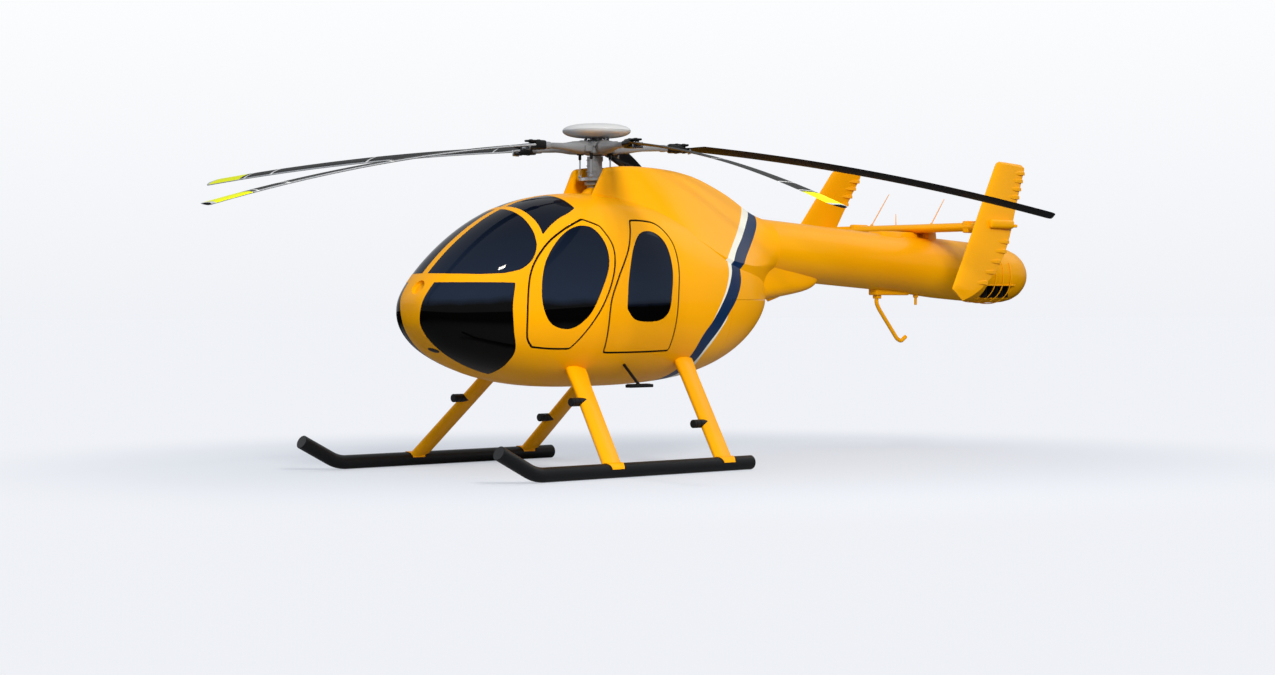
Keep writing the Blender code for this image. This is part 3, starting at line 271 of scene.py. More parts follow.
def tinted_acrylic():
    """Cast acrylic sheet, tinted dark, under a clean gloss, with a painted reflection: nearly black in its lower half
    for the reflected ground, deep navy above for the reflected sky.
    """
    made, tree, shader = new_finish("tinted_acrylic", Roughness=0.02, IOR=1.49, Specular_IOR_Level=0.1,
                                    Transmission_Weight=0.04)
    place = node(tree, "TexCoord", out="Object")
    height = node(tree, "SeparateXYZ", {"Vector": place}, "Z")
    # Painted reflection: a wavy line near 1.5 m splits painted ground reflection below from painted sky reflection
    # above, which darkens upwards.
    slow = node(tree, "TexNoise", {"Vector": place, "Scale": 1.7, "Detail": 3.0}, "Fac")
    reflection_level = node(tree, "Math", {0: slow, 1: 0.14, 2: height}, 0, operation="MULTIPLY_ADD")
    share = node(tree, "MapRange", {"Value": reflection_level, "From Min": 1.46, "From Max": 1.52}, "Result")
    high = node(tree, "MapRange", {"Value": height, "From Min": 1.5, "From Max": 2.25}, "Result")
    upper = node(tree, "Mix", {0: high, 6: linear("#1C273A"), 7: linear("#070D1B")}, 2, data_type="RGBA")
    colour = node(tree, "Mix", {0: share, 6: linear("#040404"), 7: upper}, 2, data_type="RGBA")
    tree.links.new(colour, shader.inputs["Base Color"])
    wave = node(tree, "TexNoise", {"Vector": place, "Scale": 2.2, "Detail": 0.0}, "Fac")
    normal = node(tree, "Bump", {"Height": wave, "Strength": 0.05, "Distance": 0.01}, "Normal")
    tree.links.new(normal, shader.inputs["Normal"])
    return made


def worked_surface(name, first, second, roughness, scale, bump, metallic=0.0, coat=0.0, specular=0.5):
    """A paint, metal or moulding whose tone, gloss and surface vary, with a grain of real size."""
    made, tree, shader = new_finish(name, Metallic=metallic, Coat_Weight=coat, Specular_IOR_Level=specular)
    place = node(tree, "TexCoord", out="Object")
    grain = node(tree, "TexNoise", {"Vector": place, "Scale": scale, "Detail": 3.0}, "Fac")
    slow = node(tree, "TexNoise", {"Vector": place, "Scale": 3.0, "Detail": 2.0}, "Fac")
    colour = node(tree, "Mix", {0: slow, 6: linear(first), 7: linear(second)}, 2, data_type="RGBA")
    tree.links.new(colour, shader.inputs["Base Color"])
    gloss = node(tree, "MapRange", {"Value": slow, "To Min": roughness * 0.85, "To Max": roughness * 1.2},
                 "Result")
    tree.links.new(gloss, shader.inputs["Roughness"])
    normal = node(tree, "Bump", {"Height": grain, "Strength": bump, "Distance": 0.001}, "Normal")
    tree.links.new(normal, shader.inputs["Normal"])
    return made


def blade_paint_and_shade(name, turn, lead):
    """Bonded aluminium blade, grey on top and nearly black underneath, where the darker underside is painted shade,
    with a bare metal strip along the leading edge, white tracking lines and a fluorescent tip band, placed by the
    distance from the rotor axis."""
    made, tree, shader = new_finish(name, Roughness=0.5, Specular_IOR_Level=0.08)
    place = node(tree, "TexCoord", out="Object")
    moved = node(tree, "Mapping", {"Vector": place, "Location": (0.0, -MAST_Y, 0.0)}, 0)
    own = node(tree, "VectorRotate", {"Vector": moved, "Angle": -turn}, 0, rotation_type="Z_AXIS")
    own = node(tree, "VectorRotate", {"Vector": own, "Center": (LEAD_PIN, 0.0, 0.0), "Angle": -lead}, 0,
               rotation_type="Z_AXIS")
    parts = node(tree, "SeparateXYZ", {"Vector": own}).outputs
    # Painted shade: faces whose normal points down are painted nearly black (#101113) and faces pointing up grey
    # (#2B2C2E).
    facing = node(tree, "SeparateXYZ", {"Vector": node(tree, "TexCoord", out="Normal")}, "Z")
    upper = node(tree, "MapRange", {"Value": facing, "From Min": -0.2, "From Max": 0.4}, "Result")
    colour = node(tree, "Mix", {0: upper, 6: linear("#101113"), 7: linear("#2B2C2E")}, 2, data_type="RGBA")
    bare = node(tree, "Math", {0: parts["Y"], 1: 0.031}, 0, operation="GREATER_THAN")
    colour = node(tree, "Mix", {0: bare, 6: colour, 7: linear("#A3A8AF")}, 2, data_type="RGBA")
    topside = node(tree, "MapRange", {"Value": facing, "From Min": 0.35, "From Max": 0.45}, "Result")
    for low, high, tone in ((3.78, 4.13, "#E6F000"), (4.13, 4.30, "#B9BEC6"), (3.715, 3.735, "#D9DCE0"),
                            (3.41, 3.435, "#D9DCE0"), (2.35, 2.375, "#C9CCD0"), (1.02, 1.035, "#B9BDC2")):
        middle = (low + high) / 2
        half = (high - low) / 2
        band = node(tree, "Math", {0: parts["X"], 1: middle, 2: half}, 0, operation="COMPARE")
        band = node(tree, "Math", {0: band, 1: topside}, 0, operation="MULTIPLY")
        colour = node(tree, "Mix", {0: band, 6: colour, 7: linear(tone)}, 2, data_type="RGBA")
    tree.links.new(colour, shader.inputs["Base Color"])
    grain = node(tree, "TexNoise", {"Vector": place, "Scale": 40.0}, "Fac")
    gloss = node(tree, "MapRange", {"Value": grain, "To Min": 0.42, "To Max": 0.6}, "Result")
    tree.links.new(gloss, shader.inputs["Roughness"])
    return made


def seat_leather():
    """Grey seat leather: fine pebble grain about 2 mm across and a soft low sheen."""
    made, tree, shader = new_finish("grey_leather", Roughness=0.55, Sheen_Weight=0.15)
    place = node(tree, "TexCoord", out="Object")
    cells = node(tree, "TexVoronoi", {"Vector": place, "Scale": 420.0}, "Distance")
    slow = node(tree, "TexNoise", {"Vector": place, "Scale": 6.0}, "Fac")
    colour = node(tree, "Mix", {0: slow, 6: linear("#4A4B4E"), 7: linear("#5B5C60")}, 2, data_type="RGBA")
    tree.links.new(colour, shader.inputs["Base Color"])
    normal = node(tree, "Bump", {"Height": cells, "Strength": 0.35, "Distance": 0.001}, "Normal")
    tree.links.new(normal, shader.inputs["Normal"])
    return made


def belt_webbing():
    """Woven polyester belt webbing: ribs about 4 mm apart across the strap, drawn coarse enough to show."""
    made, tree, shader = new_finish("belt_webbing", Roughness=0.8, Sheen_Weight=0.3)
    place = node(tree, "TexCoord", out="Object")
    ribs = node(tree, "TexWave", {"Vector": place, "Scale": 80.0, "Distortion": 0.3}, "Fac", bands_direction="Z")
    colour = node(tree, "Mix", {0: ribs, 6: linear("#0F1013"), 7: linear("#26282C")}, 2, data_type="RGBA")
    tree.links.new(colour, shader.inputs["Base Color"])
    normal = node(tree, "Bump", {"Height": ribs, "Strength": 0.4, "Distance": 0.001}, "Normal")
    tree.links.new(normal, shader.inputs["Normal"])
    return made


BLADE_TURNS = [math.radians(270 + 72 * k) for k in range(5)]
FINISH = {
    "pod": enamel("yellow_enamel_pod", POD_STRIPE),
    "fairing": enamel("yellow_enamel_fairing", FAIRING_STRIPE),
    "yellow": enamel("yellow_enamel"),
    "glass": tinted_acrylic(),
    "rubber": worked_surface("black_seal_rubber", "#050505", "#0A0A0B", 0.7, 60.0, 0.1, specular=0.1),
    "skid": worked_surface("satin_skid_enamel", "#08090C", "#0E1014", 0.42, 90.0, 0.15, coat=0.05, specular=0.2),
    "black": worked_surface("black_fittings", "#0A0B0C", "#131416", 0.4, 70.0, 0.2, specular=0.25),
    "hub": worked_surface("grey_hub_enamel", "#7A7E84", "#90949A", 0.4, 50.0, 0.12, metallic=0.15),
    "steel": worked_surface("bare_steel", "#A9ADB2", "#C3C6CA", 0.28, 80.0, 0.1, metallic=0.9),
    "cap": worked_surface("white_cap_enamel", "#C9CDD2", "#D4D7DC", 0.3, 40.0, 0.04, metallic=0.1, coat=0.2),
    "leather": seat_leather(),
    "webbing": belt_webbing(),
    "trim": worked_surface("moulded_trim", "#26282B", "#34363A", 0.6, 300.0, 0.4),
    "panel": worked_surface("instrument_black", "#101214", "#191B1E", 0.5, 400.0, 0.3),
    "carpet": worked_surface("cabin_carpet", "#2B2C2F", "#3B3C40", 0.95, 500.0, 1.0),
    "engine": worked_surface("cast_engine_alloy", "#7D8186", "#94989D", 0.45, 150.0, 0.4, metallic=0.8),
    "lamp": worked_surface("lamp_lens", "#D8DEE4", "#EEF2F6", 0.1, 60.0, 0.1, coat=1.0),
}
for count, (turn, (_, _, _, lead)) in enumerate(zip(BLADE_TURNS, BLADE_SET)):
    FINISH[f"blade_{count + 1}"] = blade_paint_and_shade(f"blade_paint_and_shade_{count + 1}", turn, math.radians(lead))


# Making and joining
def deselect():
    """Nothing is left selected."""
    for piece in bpy.context.selected_objects:
        piece.select_set(False)


def focus(piece):
    """Selects one piece alone."""
    deselect()
    piece.select_set(True)
    bpy.context.view_layer.objects.active = piece


def apply_step(piece, kind, **settings):
    """Adds one modifier and applies it."""
    focus(piece)
    step = piece.modifiers.new(kind.lower(), kind)
    for key, value in settings.items():
        setattr(step, key, value)
    bpy.ops.object.modifier_apply(modifier=step.name)
    return piece


def smooth(piece, angle=35):
    """Smooth faces with edges sharper than the angle kept."""
    focus(piece)
    bpy.ops.object.shade_smooth_by_angle(angle=math.radians(angle), keep_sharp_edges=False)
    return piece


def from_faces(name, verts, faces):
    """A piece from points and faces."""
    mesh = bpy.data.meshes.new(name)
    mesh.from_pydata([tuple(v) for v in verts], [], [tuple(f) for f in faces])
    piece = bpy.data.objects.new(name, mesh)
    bpy.context.scene.collection.objects.link(piece)
    return piece


def outward(piece):
    """Faces turned outwards."""
    work = bmesh.new()
    work.from_mesh(piece.data)
    bmesh.ops.remove_doubles(work, verts=work.verts, dist=1e-6)
    bmesh.ops.recalc_face_normals(work, faces=work.faces)
    work.to_mesh(piece.data)
    work.free()
    return piece


def skinned(name, rows):
    """Skins rows of points into one closed piece. A row of one point is a pole."""
    starts = []
    verts = []
    for row in rows:
        starts.append(len(verts))
        verts += [tuple(p) for p in row]
    faces = []
    for k in range(len(rows) - 1):
        count = max(len(rows[k]), len(rows[k + 1]))
        for i in range(count):
            corners = []
            for row, spot in ((k, i), (k, i + 1), (k + 1, i + 1), (k + 1, i)):
                vert = starts[row] + spot % len(rows[row])
                if vert not in corners:
                    corners.append(vert)
            faces.append(corners)
    for row, start in ((rows[0], starts[0]), (rows[-1], starts[-1])):
        if len(row) > 2:
            faces.append([start + i for i in range(len(row))])
    return outward(from_faces(name, verts, faces))


def settle(piece, body, finish, replaces=(), angle=35, smoothed=True):
    """Puts a finished piece in the row's frame, on its body, with its finish."""
    if smoothed:
        smooth(piece, angle)
    piece.data.transform(Matrix.Translation((0, MAST_Y, 0)) @ piece.matrix_world)
    piece.matrix_world = Matrix.Identity(4)
    piece.data.materials.clear()
    piece.data.materials.append(FINISH[finish])
    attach(piece, body)
    if replaces:
        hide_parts(*([replaces] if isinstance(replaces, str) else replaces))
    return piece


def joined(pieces, name):
    """Several pieces as one."""
    focus(pieces[0])
    for piece in pieces[1:]:
        piece.select_set(True)
    bpy.ops.object.join()
    pieces[0].name = name
    return pieces[0]


def copied(piece, name, move=(0, 0, 0), mirror=False):
    """A copy with its own mesh, moved or mirrored across the middle."""
    made = piece.copy()
    made.data = piece.data.copy()
    made.name = name
    bpy.context.scene.collection.objects.link(made)
    made.data.transform(Matrix.Translation(move))
    if mirror:
        made.data.transform(Matrix.Scale(-1, 4, (1, 0, 0)))
        made.data.flip_normals()
    return made


def carve(piece, tool, how="DIFFERENCE", keep=False):
    """Cuts, keeps or joins with a tool body."""
    apply_step(piece, "BOOLEAN", operation=how, solver="MANIFOLD", object=tool)
    if not keep:
        bpy.data.objects.remove(tool)
    return piece


def block(name, low, high, bevel=0.004, segments=2):
    """A block between two corners with rounded edges."""
    deselect()
    middle = [(a + b) / 2 for a, b in zip(low, high)]
    bpy.ops.mesh.primitive_cube_add(size=1.0, location=middle)
    piece = bpy.context.active_object
    piece.name = name
    piece.scale = [abs(b - a) for a, b in zip(low, high)]
    bpy.ops.object.transform_apply(location=True, rotation=True, scale=True)
    if bevel:
        apply_step(piece, "BEVEL", width=bevel, segments=segments, limit_method="ANGLE")
    return piece


def turns(count):
    """Even angles once round."""
    return [2 * math.pi * k / count for k in range(count)]


def rod(name, points, radius, sides=16, tips=None):
    """A round rod along points, with smooth bends and closed ends."""
    points = [Vector(p) for p in points]
    rows = []
    side = None
    for i, point in enumerate(points):
        before = (point - points[i - 1]).normalized() if i else None
        after = (points[i + 1] - point).normalized() if i + 1 < len(points) else None
        along = ((before or after) + (after or before)).normalized()
        if side is None:
            side = along.orthogonal().normalized()
        side = (side - along * side.dot(along)).normalized()
        up = along.cross(side)
        size = radius[i] if isinstance(radius, (list, tuple)) else radius
        stretch = 1.0 / max(math.cos(before.angle(after) / 2), 0.5) if before and after else 1.0
        size *= 1.0 + (stretch - 1.0) * 0.5
        rows.append([point + side * size * math.cos(2 * math.pi * k / sides)
                     + up * size * math.sin(2 * math.pi * k / sides) for k in range(sides)])
    return skinned(name, rows)


def bent(points, radius, steps=6):
    """A line whose corners are rounded."""
    points = [Vector(p) for p in points]
    line = [points[0]]
    for before, point, after in zip(points, points[1:], points[2:]):
        start = point + (before - point).normalized() * radius
        end = point + (after - point).normalized() * radius
        for k in range(steps + 1):
            u = k / steps
            line.append((1 - u) ** 2 * start + 2 * u * (1 - u) * point + u**2 * end)
    line.append(points[-1])
    return line


def turned(name, profile, sides=48, centre=(0, 0)):
    """A body turned about an upright axis from (radius, z) points. Radius 0 is a pole."""
    rows = []
    for radius, z in profile:
        if radius == 0:
            rows.append([(centre[0], centre[1], z)])
            continue
        rows.append([(centre[0] + radius * math.cos(2 * math.pi * k / sides),
                      centre[1] + radius * math.sin(2 * math.pi * k / sides), z) for k in range(sides)])
    return skinned(name, rows)


def spline(knots, values, at):
    """A smooth curve with steady curvature through values at knots, read at given places."""
    knots = np.asarray(knots, float)
    values = np.asarray(values, float)
    at = np.asarray(at, float)
    gap = np.diff(knots)
    rise = np.diff(values, axis=0) / gap[:, None]
    count = len(knots)
    system = np.zeros((count, count))
    right = np.zeros_like(values)
    system[0, 0] = 1.0
    system[-1, -1] = 1.0
    right[0] = rise[0] * 1.3
    right[-1] = rise[-1] * 1.3
    if values.shape[1] == 5:
        right[0, 0] = 0.0
        right[-1, 0] = 0.0
    else:
        right[0] = rise[0]
        right[-1] = rise[-1]
    for i in range(1, count - 1):
        system[i, i - 1] = gap[i]
        system[i, i] = 2 * (gap[i - 1] + gap[i])
        system[i, i + 1] = gap[i - 1]
        right[i] = 3 * (gap[i] * rise[i - 1] + gap[i - 1] * rise[i])
    slope = np.linalg.solve(system, right)
    index = np.clip(np.searchsorted(knots, at, side="right") - 1, 0, count - 2)
    h = gap[index][:, None]
    u = ((at - knots[index]) / gap[index])[:, None]
    return ((2 * u**3 - 3 * u**2 + 1) * values[index] + (u**3 - 2 * u**2 + u) * h * slope[index]
            + (3 * u**2 - 2 * u**3) * values[index + 1] + (u**3 - u**2) * h * slope[index + 1])


# Pod skin
def pod_grid(rings, segments):
    """Points and outward directions of the pod's skin, ring by ring."""
    stations = np.array(POD_STATIONS)
    steps = np.sqrt(np.sqrt((np.diff(stations, axis=0) ** 2).sum(axis=1)))
    times = np.concatenate([[0.0], np.cumsum(steps)])

    def surface(t, angle):
        rows = spline(times, stations, np.clip(t, 0, times[-1]))
        c = np.cos(angle)
        s = np.sin(angle)
        power = np.where(s >= 0, POD_POWER_TOP, POD_POWER_BOTTOM)
        y, half, bottom, middle, top = (rows[:, k][:, None] for k in range(5))
        reach = np.where(s >= 0, top - middle, middle - bottom)
        x = np.maximum(half, 0) * np.sign(c) * np.abs(c) ** (2 / power)
        z = middle + reach * np.sign(s) * np.abs(s) ** (2 / power)
        return np.stack([x, np.broadcast_to(y, x.shape), z], axis=-1)

    t = np.linspace(0, times[-1], rings)[1:-1]
    angle = 2 * math.pi * (np.arange(segments) + 0.5) / segments
    points = surface(t, angle)
    along = surface(t + 1e-4, angle) - surface(t - 1e-4, angle)
    around = surface(t, angle + 1e-4) - surface(t, angle - 1e-4)
    normals = np.cross(along, around)
    normals /= np.linalg.norm(normals, axis=-1)[..., None]
    outside = points - np.array([0, 0, 1.4])
    outside[..., 1] = 0
    if (normals * outside).sum(axis=-1).mean() < 0:
        normals = -normals
    return points, normals


class Skin:
    """An uncut skin that gives its own directions to the pieces cut from it."""

    def __init__(self, points, normals, faces):
        self.normals = normals
        self.faces = faces
        self.points = [Vector(p) for p in points]
        self.tree = BVHTree.FromPolygons(self.points, faces)

    def normal_at(self, place, reach):
        """The skin's direction at its nearest point, if that is within reach."""
        spot, _, index, gap = self.tree.find_nearest(place, reach)
        if spot is None:
            return None, None
        face = self.faces[index]
        weights = poly_3d_calc([self.points[v] for v in face], spot)
        total = Vector((0, 0, 0))
        for weight, vert in zip(weights, face):
            total += Vector(self.normals[vert]) * weight
        return total.normalized(), spot


def keep_gloss(piece, skin, reach=0.004, angle=35):
    """Gives the faces that lie on an uncut skin that skin's directions, so that reflections run on over cuts."""
    smooth(piece, angle)
    mesh = piece.data
    known = {}
    split = [(0.0, 0.0, 0.0)] * len(mesh.loops)
    for face in mesh.polygons:
        way = face.normal
        for loop in face.loop_indices:
            vert = mesh.loops[loop].vertex_index
            if vert not in known:
                known[vert] = skin.normal_at(mesh.vertices[vert].co, reach)[0]
            normal = known[vert]
            if normal is not None and normal.dot(way) > 0.8:
                split[loop] = tuple(normal)
    mesh.normals_split_custom_set(split)
    return piece


RINGS = 112
SEGMENTS = 128
POD_POINTS, POD_NORMALS = pod_grid(RINGS, SEGMENTS)


def pod_body(name, insets):
    """Closed skins at the given depths below the pod's surface. Every second one faces inwards."""
    verts = []
    faces = []
    for n, inset in enumerate(insets):
        start = len(verts)
        grid = POD_POINTS - POD_NORMALS * inset
        rows = grid.shape[0]
        verts += [tuple(p) for p in grid.reshape(-1, 3)]
        nose = len(verts)
        verts.append((0, POD_STATIONS[0][0] + inset, 1.36))
        verts.append((0, POD_STATIONS[-1][0] - inset, 1.485))
        made = []
        for r in range(rows - 1):
            for k in range(SEGMENTS):
                j = (k + 1) % SEGMENTS
                made.append((start + r * SEGMENTS + k, start + r * SEGMENTS + j,
                             start + (r + 1) * SEGMENTS + j, start + (r + 1) * SEGMENTS + k))
        for k in range(SEGMENTS):
            j = (k + 1) % SEGMENTS
            made.append((nose, start + j, start + k))
            last = start + (rows - 1) * SEGMENTS
            made.append((nose + 1, last + k, last + j))
        faces += [face[::-1] if n % 2 else face for face in made]
    piece = from_faces(name, verts, faces)
    return piece


def pod_turn():
    """Whether the grid's faces point outwards as they are built."""
    piece = pod_body("turn_test", [0.0])
    work = bmesh.new()
    work.from_mesh(piece.data)
    volume = work.calc_volume(signed=True)
    work.free()
    bpy.data.objects.remove(piece)
    return volume > 0


if not pod_turn():
    POD_POINTS = POD_POINTS[:, ::-1]
    POD_NORMALS = POD_NORMALS[:, ::-1]


def skin_of(piece, normals=None):
    """The skin of an uncut piece."""
    mesh = piece.data
    if normals is None:
        normals = [tuple(v.normal) for v in mesh.vertices]
    return Skin([v.co.copy() for v in mesh.vertices], normals, [tuple(f.vertices) for f in mesh.polygons])


whole = pod_body("whole", [0.0])
pod_directions = [tuple(n) for n in POD_NORMALS.reshape(-1, 3)] + [(0, -1, 0), (0, 1, 0)]
POD_SKIN = skin_of(whole, pod_directions)
bpy.data.objects.remove(whole)


def pod_x(y, z):
    """Half width of the pod's surface at a side view point."""
    start = Vector((1.5, y, z))
    spot, _, _, _ = POD_SKIN.tree.ray_cast(start, Vector((-1, 0, 0)), 1.5)
    return spot.x if spot else 0.0


# Outlines
def rounded(points, radius, limit):
    """Replaces corners sharper than the limit by short curves."""
    out = []
    for i, point in enumerate(points):
        before = (points[i - 1] - point).normalized()
        after = (points[(i + 1) % len(points)] - point).normalized()
        if math.degrees((-before).angle(after)) < limit:
            out.append(point)
            continue
        start = point + before * radius
        end = point + after * radius
        out += [(1 - u) ** 2 * start + 2 * u * (1 - u) * point + u**2 * end for u in (0.0, 0.25, 0.5, 0.75, 1.0)]
    return out


def flowing(points, steps=6, radius=0.03, limit=52):
    """A closed outline with smooth curves through its points."""
    points = rounded([Vector(p) for p in points], radius, limit)
    count = len(points)
    out = []
    for i in range(count):
        a, b, c, d = (points[(i + k) % count] for k in (-1, 0, 1, 2))
        gaps = [max((q - p).length, 1e-6) ** 0.5 for p, q in ((a, b), (b, c), (c, d))]
        first = (b - a) / gaps[0] - (c - a) / (gaps[0] + gaps[1]) + (c - b) / gaps[1]
        second = (c - b) / gaps[1] - (d - b) / (gaps[1] + gaps[2]) + (d - c) / gaps[2]
        first *= gaps[1]
        second *= gaps[1]
        parts = max(2, min(steps, int((c - b).length / 0.012)))
        for k in range(parts):
            u = k / parts
            out.append((2 * u**3 - 3 * u**2 + 1) * b + (u**3 - 2 * u**2 + u) * first
                       + (3 * u**2 - 2 * u**3) * c + (u**3 - u**2) * second)
    return out


def grown(points, distance):
    """A closed outline grown outwards, or shrunk if the distance is negative."""
    area = sum(p.x * q.y - q.x * p.y for p, q in zip(points, points[1:] + points[:1]))
    turn = 1.0 if area > 0 else -1.0
    out = []
    for i, point in enumerate(points):
        along = (points[(i + 1) % len(points)] - points[i - 1]).normalized()
        out.append(point + Vector((along.y, -along.x)) * turn * distance)
    return out


def side_prism(outline, sign, low_x, high_x, draft=0.0, centre=None):
    """A side view outline carried across, widened outwards by the draft."""
    centre = centre or Vector((0, 0))
    rows = []
    for x in (low_x, high_x):
        scale = 1.0 + draft * (x - DOOR_PLANE_X)
        rows.append([(sign * x, *(centre + (p - centre) * scale)) for p in outline])
    return skinned("tool", rows)


def plan_prism(outline, sign, low_z, high_z):
    """A plan view outline carried up."""
    return skinned("tool", [[(sign * p.x, p.y, z) for p in outline] for z in (low_z, high_z)])


def front_prism(outline, sign, low_y, high_y):
    """A front view outline, in x and z, carried along the length."""
    return skinned("tool", [[(sign * p.x, y, p.y) for p in outline] for y in (low_y, high_y)])


def box_tool(low, high):
    """A plain box that only cuts."""
    return block("tool", low, high, bevel=0)


def panel(name, body, finish, replaces, tools):
    """One panel of the pod's wall, cut by its tools, with the whole skin's reflections."""
    piece = pod_body(name, [0.0, WALL])
    for tool, how, keep in tools:
        carve(piece, tool, how, keep)
    keep_gloss(piece, POD_SKIN)
    return settle(piece, body, finish, replaces, smoothed=False)


def pane(name, body, replaces, tool):
    """One window pane, flush in its opening."""
    piece = pod_body(name, [GLASS_INSET, GLASS_INSET + GLASS])
    carve(piece, tool, "INTERSECT")
    keep_gloss(piece, POD_SKIN, reach=0.003)
    return settle(piece, body, "glass", replaces, smoothed=False)


def centre_of(points):
    """Middle of an outline's points."""
    return sum((Vector(p) for p in points), Vector((0, 0))) / len(points)


def seam_line(outline, centre):
    """The path of a door's seam on the pod's surface."""
    path = []
    for p in outline:
        spot = p
        for _ in range(4):
            scale = 1.0 + DOOR_DRAFT * (pod_x(spot.x, spot.y) - DOOR_PLANE_X)
            spot = centre + (p - centre) * scale
        place = Vector((pod_x(spot.x, spot.y), spot.x, spot.y))
        normal, nearest = POD_SKIN.normal_at(place, 0.1)
        path.append(nearest - normal * 0.0080)
    return path


def bead(name, path, radius, sides=10):
    """A closed round bead along a looped line."""
    count = len(path)
    rows = []
    side = None
    for i, point in enumerate(path):
        along = (path[(i + 1) % count] - path[i - 1]).normalized()
        normal, _ = POD_SKIN.normal_at(point, 0.2)
        side = along.cross(normal).normalized()
        up = side.cross(along)
        rows.append([point + side * radius * math.cos(2 * math.pi * k / sides)
                     + up * radius * math.sin(2 * math.pi * k / sides) for k in range(sides)])
    verts = [tuple(p) for row in rows for p in row]
    faces = []
    for i in range(count):
        j = (i + 1) % count
        for k in range(sides):
            m = (k + 1) % sides
            faces.append((i * sides + k, i * sides + m, j * sides + m, j * sides + k))
    return outward(from_faces(name, verts, faces))


def build_pod():
    """Nose frame, cabin shell, belly, aft fuselage, doors, engine doors and all panes."""
    outlines = {"front": (FRONT_DOOR, FRONT_WINDOW), "rear": (REAR_DOOR, REAR_WINDOW)}
    screens = []
    for side, sign in SIDES.items():
        outline = flowing(WINDSCREEN, radius=0.014)
        screens.append((sign, side_prism(outline, sign, POST_HALF, 1.2)))
        tool = side_prism(grown(outline, -0.0006), sign, POST_HALF + 0.0006, 1.2)
        pane(f"windscreen_pane_{side}", "airframe", f"windscreen_{side}", tool)
        outline = flowing(NOSE_WINDOW, radius=0.014)
        front = flowing(NOSE_WINDOW_FRONT, radius=0.03)
        for gap in (0.0, -0.0006):
            tool = side_prism(grown(outline, gap), sign, 0.02, 1.1)
            carve(tool, front_prism(grown(front, gap), sign, -2.35, -1.0), "INTERSECT")
            if gap:
                pane(f"nose_window_pane_{side}", "airframe", f"nose_window_{side}", tool)
            else:
                screens.append((sign, tool))
        outline = flowing(ROOF_WINDOW, radius=0.014)
        screens.append((sign, plan_prism(outline, sign, 1.80, 2.6)))
        pane(f"roof_pane_{side}", "airframe", f"roof_window_{side}",
             plan_prism(grown(outline, -0.0006), sign, 1.80, 2.6))

    # Painted shade: a black raised oval on the lower nose stands in for the shade inside the nose vent's opening.
    vent = skin_oval("nose_vent_shade", (0.071, -1.899, 1.031), ((-0.012, 0.95), (0.0005, 1.0), (0.004, 0.94), (0.006, 0.6),
                                                           (0.0065, 0.2)), 0.052, 0.028, math.radians(25))
    settle(vent, "airframe", "black")
    holes = []
    for side, sign in SIDES.items():
        for kind, (door_points, window_points) in outlines.items():
            centre = centre_of(door_points)
            outline = flowing(door_points, radius=0.022, limit=45)
            window = flowing(window_points, radius=0.03)
            holes.append(side_prism(grown(outline, SEAM_HALF), sign, 0.25, 0.95, DOOR_DRAFT, centre))
            body = side_prism(grown(outline, -SEAM_HALF), sign, 0.2, 1.0, DOOR_DRAFT, centre)
            panel(f"{kind}_door_skin_{side}", f"{side}_{kind}_door", "pod", f"{kind}_door_{side}",
                  [(body, "INTERSECT", False), (side_prism(window, sign, 0.2, 1.0), "DIFFERENCE", False)])
            pane(f"{kind}_door_pane_{side}", f"{side}_{kind}_door", f"{kind}_door_glass_{side}",
                 side_prism(grown(window, -0.0006), sign, 0.2, 1.0))
            path = seam_line(outline, centre)
            path = [Vector((sign * p.x, p.y, p.z)) for p in path]
            settle(bead(f"{kind}_door_seal_{side}", path, 0.0084), "airframe", "rubber")

    tools = [(box_tool((-2, -3, 0), (2, NOSE_JOINT, 3)), "INTERSECT", False)]
    tools += [(tool, "DIFFERENCE", True) for _, tool in screens]
    recess = skin_oval("tool", (0.03, -2.03, 1.548), ((0.04, 1.1), (0.0, 1.0), (-0.022, 0.96), (-0.031, 0.80)),
                       0.062, 0.070)
    tools.append((recess, "DIFFERENCE", True))
    panel("nose_skin", "airframe", "pod", "nose_frame", tools)
    tools = [(box_tool((-2, NOSE_JOINT, 0), (2, CABIN_END, 3)), "INTERSECT", False),
             (box_tool((-2, BELLY_FRONT, 0), (2, 3, BELLY_TOP)), "DIFFERENCE", False)]
    tools += [(tool, "DIFFERENCE", True) for _, tool in screens]
    tools += [(tool, "DIFFERENCE", True) for tool in holes]
    panel("cabin_skin", "airframe", "pod", "cabin_shell", tools)
    for tool in [tool for _, tool in screens] + holes + [recess]:
        bpy.data.objects.remove(tool)
    panel("belly_skin", "airframe", "pod", "belly_pan",
          [(box_tool((-2, BELLY_FRONT, 0), (2, CABIN_END, BELLY_TOP)), "INTERSECT", False)])
    bay = box_tool((-2, ENGINE_DOOR_FRONT - 0.0015, 0), (2, 3, ENGINE_DOOR_TOP + 0.0015))
    panel("aft_skin", "airframe", "pod", "aft_fuselage",
          [(box_tool((-2, CABIN_END, 0), (2, 3, 3)), "INTERSECT", False), (bay, "DIFFERENCE", False)])
    for side, sign in SIDES.items():
        ends = sorted((sign * 0.0015, sign * 2.0))
        body = box_tool((ends[0], ENGINE_DOOR_FRONT + 0.0015, 0), (ends[1], 3, ENGINE_DOOR_TOP - 0.0015))
        panel(f"engine_door_skin_{side}", f"{side}_engine_door", "pod", f"engine_door_{side}",
              [(body, "INTERSECT", False)])


def skin_oval(name, place, sizes, wide, tall, lean=0.0):
    """An oval body on the pod's skin from (height above the skin, share of its size) steps, leaning by an angle."""
    normal, spot = POD_SKIN.normal_at(Vector(place), 0.3)
    side = normal.cross(Vector((0, 0, 1))).normalized()
    up = side.cross(normal)
    side, up = side * math.cos(lean) + up * math.sin(lean), up * math.cos(lean) - side * math.sin(lean)
    rows = []
    for height, size in sizes:
        rows.append([spot + normal * height + side * wide * size * math.cos(a) + up * tall * size * math.sin(a)
                     for a in turns(40)])
    return skinned(name, rows)


